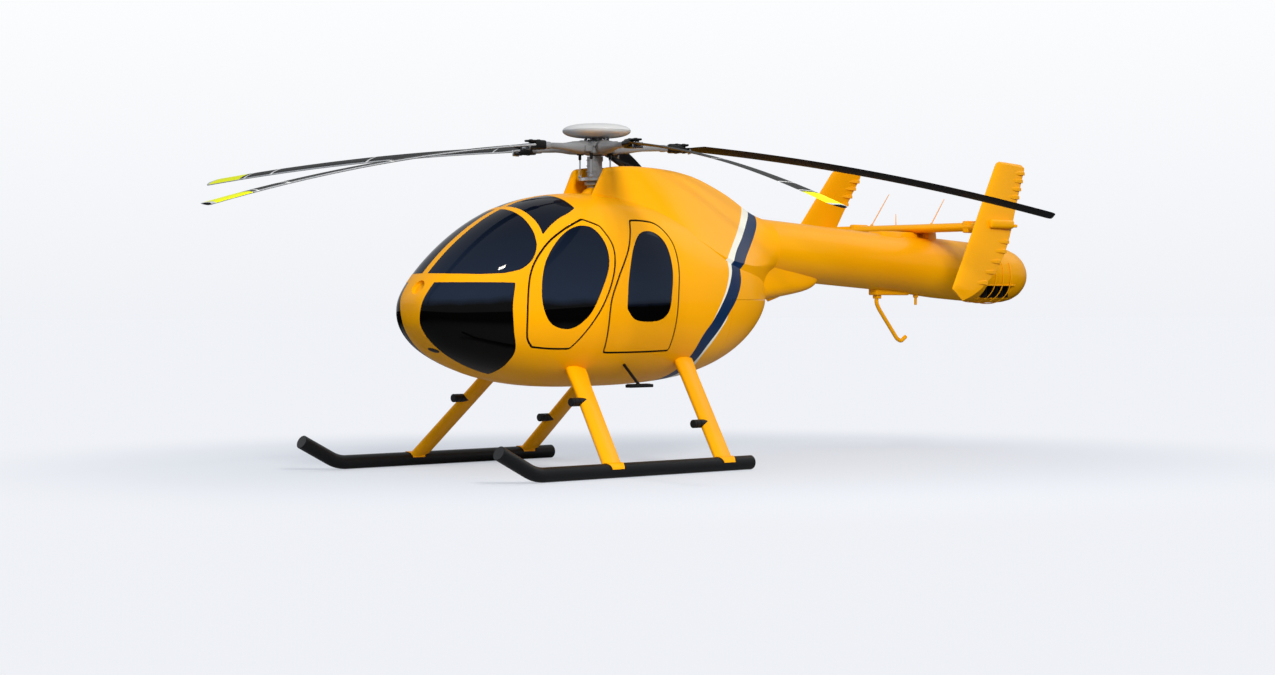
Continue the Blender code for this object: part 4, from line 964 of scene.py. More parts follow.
# Rotor fairing on the roof
def fairing_section(y, top_half, top, foot_half, foot, share):
    """Half section of the fairing from the middle of its top to the middle of its base."""
    corner_size = 0.045
    base = foot - 0.45 * (1 - share)
    side = Vector((foot_half - top_half, foot - top))
    unit = side.normalized()
    corner = Vector((top_half, top))
    start = corner + Vector((-corner_size, 0))
    end = corner + unit * corner_size
    points = [Vector((start.x * k / 5, top)) for k in range(5)]
    points += [(1 - u) ** 2 * start + 2 * u * (1 - u) * corner + u**2 * end
               for u in (k / 6 for k in range(7))]
    foot_point = Vector((foot_half, foot))
    points += [end.lerp(foot_point, k / 44) for k in range(1, 45)]
    low = Vector((foot_half * 0.8, base))
    points += [foot_point.lerp(low, k / 8) for k in range(1, 9)]
    points += [low.lerp(Vector((0, base)), k / 6) for k in range(1, 7)]
    reach = np.concatenate([[0.0], np.cumsum([(b - a).length for a, b in zip(points, points[1:])])])
    out = []
    for point, distance in zip(points, reach):
        angle = math.pi / 2 - math.pi * distance / reach[-1]
        circle = Vector((BOOM_RADIUS * math.cos(angle), boom_z(y) + BOOM_RADIUS * math.sin(angle)))
        out.append(point.lerp(circle, share))
    return out


def boom_z(y):
    """Height of the boom's axis at a station."""
    return BOOM_Z_AT_START + BOOM_SLOPE * (y - BOOM_START)


def mirrored(half, y):
    """A whole section from its right half; y may be a number or one for each point."""
    places = y if isinstance(y, list) else [y] * len(half)
    row = [(p.x, s, p.y) for p, s in zip(half, places)]
    return row + [(-p.x, s, p.y) for p, s in list(zip(half, places))[-2:0:-1]]


def build_fairing():
    """The rotor fairing: flat flanks, raked lips round an open well, a soft fillet onto the pod."""
    stations = np.array(FAIRING_STATIONS)
    places = np.array([-0.05 + 0.05 * k for k in range(3)] + [0.10 + 1.95 * k / 63 for k in range(64)])
    values = spline(stations[:, 0], stations[:, 1:], places)
    values[:, 4] = np.clip(values[:, 4], 0, 1)
    values[places < 1.05, 4] = 0.0
    lip_y, lip_top_half, lip_top, lip_foot_half, lip_foot = FAIRING_LIP
    lip = fairing_section(lip_y, lip_top_half, lip_top, lip_foot_half, lip_foot, 0.0)
    lip_places = [lip_y + LIP_RAKE * (p.y - lip_top) for p in lip]
    rows = [mirrored(lip, lip_places)]
    for y, row in zip(places.tolist(), values.tolist()):
        rows.append(mirrored(fairing_section(y, *row), y))
    piece = skinned("mast_fairing", rows)
    mesh = piece.data
    normals = [v.normal.copy() for v in mesh.vertices]
    shared = {}
    for face in mesh.polygons:
        if len(face.vertices) > 4:
            shared.update((v, True) for v in face.vertices)
    for vert, normal in zip(mesh.vertices, normals):
        spot, _, _, gap = POD_SKIN.tree.find_nearest(vert.co)
        way, _ = POD_SKIN.normal_at(vert.co, 10)
        height = (vert.co - spot).dot(way)
        if height > FILLET or vert.index in shared:
            continue
        push = normal - way * normal.dot(way)
        steep = push.length
        if steep < 0.3:
            continue
        push.normalize()
        share = max(height, 0.0)
        ease = min(max((vert.co.y + 0.05) / 0.12, 0.0), 1.0)
        flare = FILLET - math.sqrt(max(FILLET**2 - (FILLET - share) ** 2, 0.0))
        vert.co += push * flare * ease * 0.9 * steep**3
        spot, _, _, gap = POD_SKIN.tree.find_nearest(vert.co)
        way, _ = POD_SKIN.normal_at(vert.co, 10)
        vert.co += way * (height - (vert.co - spot).dot(way))
    mesh.update()
    skin = skin_of(piece)
    carve(piece, pod_body("tool", [0.003]))
    well = [Vector((WELL_RADIUS, -0.9)), Vector((WELL_RADIUS, WELL_CENTRE_Y))]
    for angle in turns(48)[1:24]:
        well.append(Vector((WELL_RADIUS * math.cos(angle), WELL_CENTRE_Y + WELL_RADIUS * math.sin(angle))))
    well += [Vector((-WELL_RADIUS, WELL_CENTRE_Y)), Vector((-WELL_RADIUS, -0.9))]
    carve(piece, plan_prism(well, 1.0, 1.0, 3.0))
    smooth(piece, 24)
    settle(piece, "airframe", "fairing", "rotor_fairing", smoothed=False)
    return skin


# Boom and tail
def boom_radius(y):
    """The boom swells gently ahead of the tailplane."""
    share = min(max((y - 3.9) / 0.8, 0.0), 1.0)
    return BOOM_RADIUS + (BOOM_AFT_RADIUS - BOOM_RADIUS) * share * share * (3 - 2 * share)


def boom_row(y, radius, sides=112):
    """A round section about the boom's axis, upright at its root and square to the axis further aft."""
    lean = BOOM_SLOPE * min(max((y - 2.3) / 1.5, 0.0), 1.0)
    rise = radius / math.hypot(1.0, lean)
    return [(radius * math.cos(a), y - lean * rise * math.sin(a), boom_z(y) + rise * math.sin(a))
            for a in turns(sides)]


def wing_section(chord, thickness, count=14):
    """Points of a wing's section: along the chord from the nose, and height."""
    upper = []
    for k in range(count + 1):
        u = (1 - math.cos(math.pi * k / count)) / 2
        shape = 0.2969 * math.sqrt(u) - 0.126 * u - 0.3516 * u**2 + 0.2843 * u**3 - 0.1015 * u**4
        upper.append((chord * u, 5.0 * thickness * shape))
    return upper + [(x, -z) for x, z in reversed(upper[1:-1])]


def build_boom():
    """The blown tail boom with its exhaust fairing and its tail bumper."""
    rows = [boom_row(2.0505, 0.268), boom_row(2.056, BOOM_RADIUS)]
    rows += [boom_row(2.1 + 0.1 * k, boom_radius(2.1 + 0.1 * k)) for k in range(29)]
    rows += [boom_row(4.984, BOOM_AFT_RADIUS), boom_row(4.989, 0.291), boom_row(4.99, 0.262), boom_row(5.05, 0.262)]
    settle(skinned("boom_tube", rows), "airframe", "yellow", "tail_boom", angle=30)
    rows = []
    stations = spline([0, 1, 2, 3], [(1.86, 0.21, 1.42), (2.10, 0.20, 1.455), (2.62, 0.15, 1.535),
                                     (2.79, 0.10, 1.64)], [k / 6 for k in range(19)])
    for y, half, low in stations.tolist():
        top = boom_z(y) - BOOM_RADIUS * 0.5
        row = [(half, y, top)]
        for k in range(17):
            a = math.pi * k / 16
            x = half * math.copysign(abs(math.cos(a)) ** 0.62, math.cos(a))
            row.append((x, y, low + (top - low) * 0.55 * (1 - math.sin(a) ** 0.62)))
        row.append((-half, y, top))
        rows.append(row)
    piece = skinned("exhaust_cowl", rows)
    carve(piece, pod_body("tool", [0.003]))
    settle(piece, "airframe", "yellow", "exhaust_fairing", angle=40)
    # Painted shade: a black oval on the exhaust's end stands in for the shade inside the exhaust opening.
    mouth = []
    for depth, size in ((-0.012, 1.0), (0.0, 1.0), (0.004, 0.93), (-0.006, 0.86), (-0.010, 0.0001)):
        centre = Vector((0, 2.70 + depth * 0.45, 1.586 - depth * 0.89))
        mouth.append([centre + Vector((0.085 * size * math.cos(a), 0.060 * size * math.sin(a),
                                       0.030 * size * math.sin(a))) for a in turns(40)])
    settle(skinned("exhaust_opening_shade", mouth), "airframe", "black", angle=40)

    low = boom_z(3.9) - BOOM_RADIUS - 0.045
    path = bent([(0, 3.73, low + 0.02), (0, 3.722, low - 0.07), (0, 3.76, low - 0.13), (0, 4.03, low - 0.42),
                 (0, 4.09, low - 0.445), (0, 4.16, low - 0.40)], 0.025)
    hoop = rod("bumper_hoop", path, 0.0195, 20)
    plate = block("bumper_plate", (-0.055, 3.665, low + 0.004), (0.055, 4.155, boom_z(3.9) - 0.2), 0.012, 3)
    carve(plate, skinned("tool", [boom_row(3.4, BOOM_RADIUS - 0.004), boom_row(4.4, BOOM_RADIUS + 0.004)]))
    pad = block("bumper_pad", (-0.030, 3.700, low - 0.030), (0.030, 3.765, low + 0.008), 0.006)
    settle(joined([hoop, plate, pad], "bumper"), "airframe", "yellow", "tail_bumper", angle=40)
    places = [(0.02, 4.29, z) for z in (1.52, 1.475, 1.470, 1.405, 1.40)]
    settle(rod("drain_stub", places, [0.026, 0.026, 0.014, 0.014, 0.010], 20), "airframe", "yellow")


def drum_rows(points):
    """Drum sections from (y, radius) points, with a pole where the radius is 0."""
    return [boom_row(y, r) if r else [(0.0, y, boom_z(y))] for y, r in points]


def build_drum():
    """The turning thruster drum at the boom's end: hollow, with an outlet slot and its guards on each side."""
    outer = [(4.996, 0.290), (5.001, 0.295), (5.15, 0.2945), (5.30, 0.293), (5.45, 0.2895), (5.56, 0.283),
             (5.65, 0.272), (5.73, 0.254), (5.79, 0.230), (5.84, 0.199), (5.873, 0.160), (5.889, 0.110),
             (5.8955, 0.055), (5.8965, 0)]
    inner = [(4.90, 0.2632), (5.075, 0.2632), (5.085, 0.269), (5.30, 0.269), (5.45, 0.266), (5.60, 0.257),
             (5.73, 0.230), (5.81, 0.190), (5.85, 0.130), (5.865, 0)]
    drum = skinned("thruster_drum", drum_rows(outer))
    carve(drum, skinned("tool", drum_rows(inner)))
    for sign in SIDES.values():
        low, high = sorted((sign * 0.05, sign * 0.5))
        carve(drum, block("tool", (low, 5.11, 1.478), (high, 5.53, 1.589), 0.022, 4))
    settle(drum, "thruster", "yellow", "tail_thruster", angle=32)
    for side, sign in SIDES.items():
        guards = []
        for y in (5.20, 5.32, 5.44):
            places = []
            for k in range(25):
                a = math.radians(22 - 116 * k / 24)
                radius = 0.2985 + 0.022 * max(math.sin(math.pi * k / 24), 0.0) ** 2
                places.append((sign * radius * math.cos(a), y, boom_z(y) + radius * math.sin(a)))
            guards.append(rod("guard", places, 0.0045, 10))
        settle(joined(guards, f"slot_guards_{side}"), "thruster", "yellow", angle=50)
        vanes = []
        for k in range(5):
            y = 5.15 + 0.085 * k
            vanes.append(block("vane", (sign * 0.10, y, 1.470), (sign * 0.225, y + 0.006, 1.590), 0.0015))
        settle(joined(vanes, f"slot_vanes_{side}"), "thruster", "black")
        rails = []
        for z, reach in ((1.468, 0.012), (1.596, 0.010)):
            path = []
            for k in range(13):
                y = 5.09 + 0.46 * k / 12
                depth = boom_z(y) - z
                x = math.sqrt(max(0.293**2 - depth**2, 0.0001))
                path.append((sign * (x + 0.002), y, z))
            rails.append(rod("rail", path, reach * 0.55, 10))
        settle(joined(rails, f"slot_rails_{side}"), "thruster", "yellow")


def fin_x(z):
    """Distance of the canted fin's middle plane from the centre at a height."""
    return FIN_X - FIN_CANT * (z - TAILPLANE_Z)


def build_tail():
    """Tailplane on its saddles with the aerials, and the two end fins."""
    half_span = FIN_X - FIN_THICKNESS / 2 - 0.007
    rows = []
    for k in range(-8, 9):
        share = k / 8
        chord = 0.36 - 0.15 * abs(share)
        rows.append([(half_span * share, TAILPLANE_FRONT + u, TAILPLANE_Z + v)
                     for u, v in wing_section(chord, 0.085, 16)])
    parts = [skinned("tailplane_wing", rows)]
    for front, back, half, top in ((3.70, 3.98, 0.11, 2.112), (3.97, 4.30, 0.05, 2.112),
                                   (4.37, 4.52, 0.10, 2.148)):
        rows = []
        for z, grow in ((boom_z(back) + 0.18, 0.02), (top - 0.012, 0.0), (top - 0.003, -0.005), (top, -0.012)):
            low = (-half - grow, front - grow)
            high = (half + grow, back + grow * 0.4)
            corner = 0.03
            row = []
            for cx, cy, first in ((high[0] - corner, high[1] - corner, 0), (low[0] + corner, high[1] - corner, 1),
                                  (low[0] + corner, low[1] + corner, 2), (high[0] - corner, low[1] + corner, 3)):
                for n in range(5):
                    a = math.pi / 2 * (first + n / 4)
                    row.append((cx + corner * math.cos(a), cy + corner * math.sin(a), z))
            rows.append(row)
        parts.append(skinned("saddle", rows))
    for side in (-1, 1):
        parts.append(block("tail_clamp", (side * 0.715 - 0.035, 4.19, 2.09), (side * 0.715 + 0.035, 4.40, 2.205),
                           0.012, 3))
    settle(joined(parts, "tailplane_finished"), "airframe", "yellow", "tailplane", angle=34)
    for name, foot, tip in (("whip_aerial_right", (-0.57, 4.30, 2.17), (-0.36, 4.34, 2.50)),
                            ("whip_aerial_left", (0.20, 4.30, 2.17), (0.34, 4.34, 2.43)),
                            ("stub_aerial", (-0.255, 4.32, 2.17), (-0.255, 4.32, 2.30))):
        foot = Vector(foot)
        tip = Vector(tip)
        places = [foot, foot.lerp(tip, 0.1), foot.lerp(tip, 0.12), foot.lerp(tip, 0.6), tip]
        settle(rod(name, places, [0.014, 0.012, 0.005, 0.0045, 0.003], 14), "airframe", "yellow")

    leading = [(3.372, 1.545), (3.416, 1.605), (3.546, 1.78), (3.746, 2.05), (3.995, 2.39), (4.157, 2.61),
               (4.232, 2.710), (4.268, 2.748), (4.305, 2.765)]
    trailing = [(3.506, 1.435), (3.705, 1.50), (3.978, 1.655), (4.257, 1.925), (4.472, 2.30), (4.616, 2.565),
                (4.687, 2.69), (4.686, 2.722), (4.647, 2.745)]
    places = [k / 6 for k in range(49)]
    front = spline(range(9), leading, places).tolist()
    back = spline(range(9), trailing, places).tolist()
    for side, sign in SIDES.items():
        rows = []
        for n, (a, b) in enumerate(zip(front, back)):
            start = Vector((sign * fin_x(a[1]), *a))
            end = Vector((sign * fin_x(b[1]), *b))
            depth = FIN_THICKNESS * min(1.0, 0.35 + n * 0.12, 0.4 + (48 - n) * 0.10)
            rows.append([start.lerp(end, u) + Vector((v, 0, 0)) for u, v in wing_section(1.0, depth, 14)])
        parts = [skinned(f"fin_blade_{side}", rows)]
        outer = sign * (FIN_X + 0.065)
        parts.append(block("tip_fairing", (sign * (FIN_X - 0.01), 4.00, 2.12), (outer, 4.36, 2.205), 0.028, 4))
        parts.append(block("tip_nub", (sign * (FIN_X - 0.005), 4.395, 2.135), (outer - sign * 0.03, 4.435, 2.165),
                           0.008, 3))
        heights = [z for _, z in trailing]
        ends = [y for y, _ in trailing]
        for z in (2.665, 2.59, 2.51, 2.43, 2.00, 1.91, 1.81, 1.71, 1.61):
            aft = float(np.interp(z, heights[:7], ends[:7])) - 0.003
            rows = []
            for share, reach, tall in ((0.0, 0.014, 0.010), (0.5, 0.020, 0.019), (0.97, 0.021, 0.023),
                                       (1.0, 0.018, 0.021)):
                y = aft - 0.19 * (1 - share)
                middle = sign * fin_x(z)
                rows.append([(middle + reach, y, z - tall), (middle + reach, y, z + tall * 0.3),
                             (middle, y, z + tall), (middle - reach, y, z + tall * 0.3),
                             (middle - reach, y, z - tall)])
            parts.append(skinned("flow_strip", rows))
        settle(joined(parts, f"fin_finished_{side}"), "airframe", "yellow", f"fin_{side}", angle=34)


# Landing gear
def build_gear():
    """Skids, streamlined legs with their shoes, climbing pegs and boarding steps."""
    for side, sign in SIDES.items():
        x = sign * SKID_X
        path = bent([(x, 0.606, SKID_RADIUS), (x, -1.858, SKID_RADIUS), (x, -2.24, 0.251)], 0.09, 8)
        ends = [path[0], path[0] + Vector((0, -0.004, 0))]
        tip = path[-1] + (path[-2] - path[-1]).normalized() * 0.004
        line = ends + path[1:-1] + [tip, path[-1]]
        sizes = [SKID_RADIUS - 0.005] + [SKID_RADIUS - 0.0012] * (len(line) - 2) + [SKID_RADIUS - 0.005]
        settle(rod(f"skid_tube_{side}", line, sizes, 40), "airframe", "skid", f"skid_{side}", angle=40)
        for end, (top_y, top_z, foot_y) in LEGS.items():
            build_leg(end, side, sign, top_y, top_z, foot_y)
        bar = [(sign * 0.47, -0.20, 0.96), (sign * 0.725, -0.20, 0.724)]
        strut = rod(f"step_strut_{side}", bar, 0.013, 18)
        carve(strut, pod_body("tool", [0.003]))
        tread = block("tread", (sign * 0.695, -0.335, 0.703), (sign * 0.765, -0.065, 0.731), 0.007, 3)
        strips = [block("strip", (sign * 0.70, -0.32 + 0.03 * k, 0.731), (sign * 0.76, -0.308 + 0.03 * k, 0.7345),
                        0.0015, 1) for k in range(8)]
        settle(joined([strut, tread] + strips, f"step_finished_{side}"), "airframe", "skid", f"step_{side}")


def build_leg(end, side, sign, top_y, top_z, foot_y):
    """One streamlined leg from the belly to its skid, its wrapped shoe and its peg."""
    foot = Vector((sign * SKID_X, foot_y, SKID_RADIUS))
    top = Vector((sign * LEG_TOP_X, top_y, top_z + 0.04))
    rows = []
    for share, grow in ((0.0, 1.10), (0.08, 1.10), (0.13, 1.07), (0.17, 1.02), (0.22, 1.0), (0.5, 1.0), (0.80, 1.0),
                        (0.93, 1.0), (1.0, 1.0)):
        place = top.lerp(foot, share)
        row = []
        for u, v in wing_section(LEG_CHORD * grow, 0.070 * grow, 16):
            row.append(place + Vector((v * 0.8, u - LEG_CHORD * grow * 0.45, v * 0.5 * sign)))
        rows.append(row)
    leg = skinned(f"leg_{end}_{side}", rows)
    tube = rod("tool", [(sign * SKID_X, 0.8, SKID_RADIUS), (sign * SKID_X, -1.75, SKID_RADIUS)], SKID_RADIUS + 0.001,
               40)
    carve(leg, tube)
    carve(leg, pod_body("tool", [0.003]))
    rows = []
    for k in range(25):
        a = math.radians(12 + 156 * k / 24)
        low = abs(math.cos(a))
        reach = 0.100 - 0.035 * low
        row = []
        for radius, y in ((0.0655, -reach), (0.0655, reach), (0.0618, reach), (0.0618, -reach)):
            row.append((sign * SKID_X + radius * math.cos(a), foot_y + y, SKID_RADIUS + radius * math.sin(a)))
        rows.append(row)
    shoe = skinned("shoe", rows)
    settle(joined([leg, shoe], f"leg_finished_{end}_{side}"), "airframe", "yellow", f"{end}_leg_{side}", angle=38)
    share = (top.z - PEGS[end]) / (top.z - foot.z)
    middle = top.lerp(foot, share)
    tip = middle + Vector((0, -0.175 * 0.4 - 0.12, 0))
    places = []
    sizes = []
    for s, r in ((0.0, 0.030), (0.03, 0.036), (0.10, 0.036), (0.12, 0.032), (0.15, 0.032), (0.17, 0.036),
                 (0.36, 0.036), (0.38, 0.032), (0.41, 0.032), (0.43, 0.036), (0.60, 0.036), (1.0, 0.030)):
        places.append(tip.lerp(middle, s))
        sizes.append(r)
    settle(rod(f"peg_{end}_{side}", places, sizes, 28), "airframe", "black", angle=40)


# Rotor
def spun(piece, angle):
    """Turns a piece's mesh about the rotor axis."""
    piece.data.transform(Matrix.Rotation(angle, 4, "Z"))
    return piece


def build_head():
    """Mast, swashplates, links, hub arms and cap."""
    low = HUB_Z - 0.065
    dome = [(0.0, 2.44), (0.054, 2.44), (0.062, 2.432), (0.085, 2.41), (0.11, 2.395), (0.13, 2.375), (0.145, 2.345),
            (0.15, 2.33), (0.15, 2.30), (0.0, 2.30)]
    settle(turned("mast_dome", dome, 64), "airframe", "yellow", angle=50)
    tube = [(0, 2.38), (0.048, 2.38), (0.048, 2.428), (0.100, 2.432), (0.108, 2.438), (0.108, 2.458), (0.100, 2.464),
            (0.060, 2.464), (0.056, 2.52), (0.048, 2.54), (0.048, 2.64), (0.056, 2.65), (0.056, low - 0.008),
            (0.0, low - 0.008)]
    parts = [turned("mast_tube", tube, 48)]
    parts.append(block("mast_plate", (-0.040, -0.078, 2.40), (0.040, -0.044, low - 0.010), 0.004))
    for z in (2.45, 2.50, 2.55, 2.60, 2.65):
        parts.append(block("rib", (-0.046, -0.082, z), (0.046, -0.040, z + 0.008), 0.002, 1))
    for x in (-1, 1):
        parts.append(block("web", (x * 0.036, -0.060, 2.40), (x * 0.042, 0.016, low - 0.010), 0.002, 1))
    settle(joined(parts, "mast_finished"), "airframe", "hub", "mast", angle=40)

    brace = []
    outline = [(0.175, 2.665), (0.175, 2.690), (0.205, 2.692), (0.46, 2.612), (0.46, 2.600), (0.38, 2.598),
               (0.33, 2.590)]
    hole = [(0.245, 2.655), (0.34, 2.628), (0.335, 2.612)]
    rows = [[(x, *p) for p in outline] for x in (-0.014, 0.014)]
    brace = carve(skinned("mast_brace", rows), skinned("tool", [[(x, *p) for p in hole] for x in (-0.1, 0.1)]))
    apply_step(brace, "BEVEL", width=0.002, segments=2, limit_method="ANGLE")
    settle(brace, "airframe", "black")

    disc = [(0.112, 2.470), (0.112, 2.498), (0.140, 2.502), (0.158, 2.496), (0.158, 2.474), (0.140, 2.468)]
    rows = [[(r * math.cos(a), r * math.sin(a), z) for r, z in disc] for a in turns(64)]
    verts = [p for row in rows for p in row]
    faces = [(6 * i + k, 6 * i + (k + 1) % 6, 6 * ((i + 1) % 64) + (k + 1) % 6, 6 * ((i + 1) % 64) + k)
             for i in range(64) for k in range(6)]
    parts = [outward(from_faces("swashplate", verts, faces))]
    ends = []
    for k, turn in enumerate(BLADE_TURNS):
        lean = turn + math.radians(28)
        x = 0.145 * math.cos(lean)
        y = 0.145 * math.sin(lean)
        parts.append(spun(block("fork", (0.132, -0.016, 2.494), (0.160, 0.016, 2.522), 0.005), lean))
        rows = [(x, y, 2.50), (x, y, 2.53), (x, y, 2.534), (x, y, 2.655), (x, y, 2.66)]
        parts.append(rod("link", rows, [0.010, 0.010, 0.0065, 0.0065, 0.006], 14))
        ends.append(rod("link_end", [(x, y, 2.655), (x, y, 2.66), (x, y, 2.705), (x, y, 2.712)],
                        [0.008, 0.013, 0.013, 0.009], 14))
        ends.append(spun(rod("link_pin", [(0.118, 0, 2.703), (0.172, 0, 2.703)], 0.007, 12), lean))
    settle(joined(parts, "pitch_links_finished"), "main_rotor", "steel", "pitch_links", angle=40)
    settle(joined(ends, "link_ends"), "main_rotor", "black", angle=40)

    body = [(0, low), (0.085, low), (0.118, low + 0.012), (0.125, low + 0.02), (0.125, HUB_Z - 0.012),
            (0.112, HUB_Z - 0.006), (0.112, HUB_Z + 0.006), (0.125, HUB_Z + 0.012), (0.125, HUB_Z + 0.045),
            (0.118, HUB_Z + 0.053), (0.085, HUB_Z + 0.065), (0.052, HUB_Z + 0.068), (0.050, 2.842), (0, 2.842)]
    parts = [turned("hub_body", body, 60)]
    for a in turns(10):
        bolt = turned("bolt", [(0, 2.824), (0.011, 2.824), (0.011, 2.838), (0.008, 2.841), (0, 2.841)], 6, (0.10, 0))
        parts.append(spun(bolt, a))
    for k, turn in enumerate(BLADE_TURNS):
        arm = []
        for r, wide, high in ((0.05, 0.060, 0.054), (0.135, 0.062, 0.054), (0.145, 0.068, 0.060), (0.180, 0.068, 0.060),
                              (0.190, 0.062, 0.054), (0.27, 0.054, 0.048), (0.35, 0.038, 0.034), (0.40, 0.031, 0.028),
                              (0.55, 0.027, 0.025), (0.560, 0.034, 0.031), (0.595, 0.034, 0.031), (0.60, 0.030, 0.028),
                              (0.622, 0.030, 0.028)):
            row = []
            for a in turns(32):
                c, s = math.cos(a), math.sin(a)
                row.append((r, wide * math.copysign(abs(c) ** 0.8, c), HUB_Z + high * math.copysign(abs(s) ** 0.8, s)))
            arm.append(row)
        piece = skinned("pitch_housing", arm)
        horn = block("horn", (0.128, 0.035, HUB_Z - 0.04), (0.20, 0.085, HUB_Z + 0.015), 0.008, 3)
        parts += [spun(piece, turn), spun(horn, turn)]
    settle(joined(parts, "rotor_hub_finished"), "main_rotor", "hub", "rotor_hub", angle=40)

    profile = [(0.0, CAP_Z - 0.062)]
    for k in range(1, 16):
        a = math.pi / 2 * (k / 15 - 1)
        profile.append((0.297 * math.cos(a) ** 0.62, CAP_Z + 0.062 * math.sin(a)))
    profile[-1] = (0.2965, CAP_Z - 0.0015)
    profile += [(0.2925, CAP_Z - 0.001), (0.2925, CAP_Z + 0.001), (0.2965, CAP_Z + 0.0015)]
    for k in range(1, 15):
        a = math.pi / 2 * k / 15
        profile.append((0.297 * math.cos(a) ** 0.62, CAP_Z + 0.062 * math.sin(a)))
    profile.append((0.0, CAP_Z + 0.062))
    settle(turned("cap_finished", profile, 112), "main_rotor", "cap", "hub_cap", angle=40)


def build_blades():
    """Five drooping blades with their root fittings, each in its own place on the head."""
    start = 0.62 + 0.17 * 0.55
    for k, (turn, (slope, bend, pitch, lead)) in enumerate(zip(BLADE_TURNS, BLADE_SET)):
        name = f"blade_{k + 1}"
        lead = math.radians(lead)
        tilt = math.radians(pitch)
        rows = []
        for share in [0.0, 0.02, 0.04, 0.06] + [0.06 + 0.925 * n / 36 for n in range(1, 37)] + [0.992, 0.997, 1.0]:
            r = start + (ROTOR_RADIUS - start) * share
            drop = slope * share + bend * share**2
            root = min(share / 0.06, 1.0)
            blend = root * root * (3 - 2 * root)
            chord = BLADE_CHORD * (0.55 + 0.45 * blend)
            nose = 0.25 * BLADE_CHORD
            if share > 0.985:
                past = (share - 0.985) / 0.015
                chord = BLADE_CHORD * (1 - 0.28 * (1 - math.sqrt(max(1 - past**2, 0))))
                nose -= (BLADE_CHORD - chord) * 0.35
            thick = 0.021 * (1.5 - 0.5 * blend)
            row = []
            for x, z in wing_section(chord, thick, 12):
                forward = nose - x
                angle = tilt * blend
                side = forward * math.cos(angle) - z * math.sin(angle)
                out = r - LEAD_PIN
                row.append((LEAD_PIN + out * math.cos(lead) - side * math.sin(lead),
                            out * math.sin(lead) + side * math.cos(lead),
                            HUB_Z - drop + forward * math.sin(angle) + z * math.cos(angle)))
            rows.append(row)
        settle(spun(skinned(f"{name}_skin", rows), turn), "main_rotor", name, name, angle=30)

        parts = [block("root_block", (0.622, -0.050, HUB_Z - 0.040), (0.745, 0.050, HUB_Z + 0.040), 0.018, 3)]
        for z in (-1, 1):
            parts.append(block("lug", (0.69, -0.043, HUB_Z + z * 0.020), (0.805, 0.043, HUB_Z + z * 0.038), 0.008, 3))
        for x, y in ((0.70, 0.024), (0.70, -0.024), (0.765, 0.0)):
            pin = [(0, HUB_Z - 0.043), (0.013, HUB_Z - 0.043), (0.017, HUB_Z - 0.040), (0.017, HUB_Z + 0.040),
                   (0.013, HUB_Z + 0.043), (0, HUB_Z + 0.043)]
            parts.append(turned("pin", pin, 14, (x, y)))
        parts.append(rod("damper", [(0.64, -0.050, HUB_Z), (0.645, -0.050, HUB_Z), (0.715, -0.050, HUB_Z),
                                    (0.76, -0.040, HUB_Z)], [0.020, 0.026, 0.026, 0.014], 20))
        settle(spun(joined(parts, f"{name}_root"), turn), "main_rotor", "black", angle=40)
        band = block("band", (0.806, -0.052, HUB_Z - 0.048), (0.822, 0.044, HUB_Z + 0.006), 0.004)
        settle(spun(band, turn), "main_rotor", "steel")


# Cabin
def cushion(name, low, high, swell, channels=(), along="X"):
    """A leather cushion blown up under gentle pressure, then sewn in channels."""
    piece = block(name, low, high, bevel=0.022, segments=3)
    apply_step(piece, "REMESH", mode="VOXEL", voxel_size=0.006)
    start = np.array([v.co[:] for v in piece.data.vertices])
    step = piece.modifiers.new("cloth", "CLOTH")
    step.settings.use_pressure = True
    step.settings.uniform_pressure_force = 4.0
    step.settings.effector_weights.gravity = 0.0
    step.point_cache.frame_end = 20
    for moment in range(1, 21):
        bpy.context.scene.frame_set(moment)
    blown = piece.evaluated_get(bpy.context.evaluated_depsgraph_get()).data
    end = np.array([v.co[:] for v in blown.vertices])
    move = end - start
    size = np.linalg.norm(move, axis=1)[:, None]
    move *= np.minimum(1.0, swell / np.maximum(size, 1e-9))
    piece.modifiers.clear()
    bpy.context.scene.frame_set(1)
    piece.data.vertices.foreach_set("co", (start + move).ravel())
    apply_step(piece, "SMOOTH", factor=0.5, iterations=6)
    axis = "XYZ".index(along)
    for vert in piece.data.vertices:
        for place in channels:
            gap = (vert.co[axis] - place) / 0.007
            if abs(gap) < 3:
                vert.co -= vert.normal * 0.006 * math.exp(-gap * gap)
    apply_step(piece, "SUBSURF", levels=1, render_levels=1)
    return piece


def padded_piece(piece, body, replaces=()):
    settle(piece, body, "leather", replaces, angle=60)


def strap(name, path, width, across):
    """A flat woven strap along a line."""
    across = Vector(across).normalized() * width / 2
    rows = []
    for i, point in enumerate(path):
        along = Vector(path[min(i + 1, len(path) - 1)]) - Vector(path[max(i - 1, 0)])
        thick = across.cross(along).normalized() * 0.0012
        point = Vector(point)
        rows.append([point + across + thick, point - across + thick, point - across - thick,
                     point + across - thick])
    return skinned(name, rows)


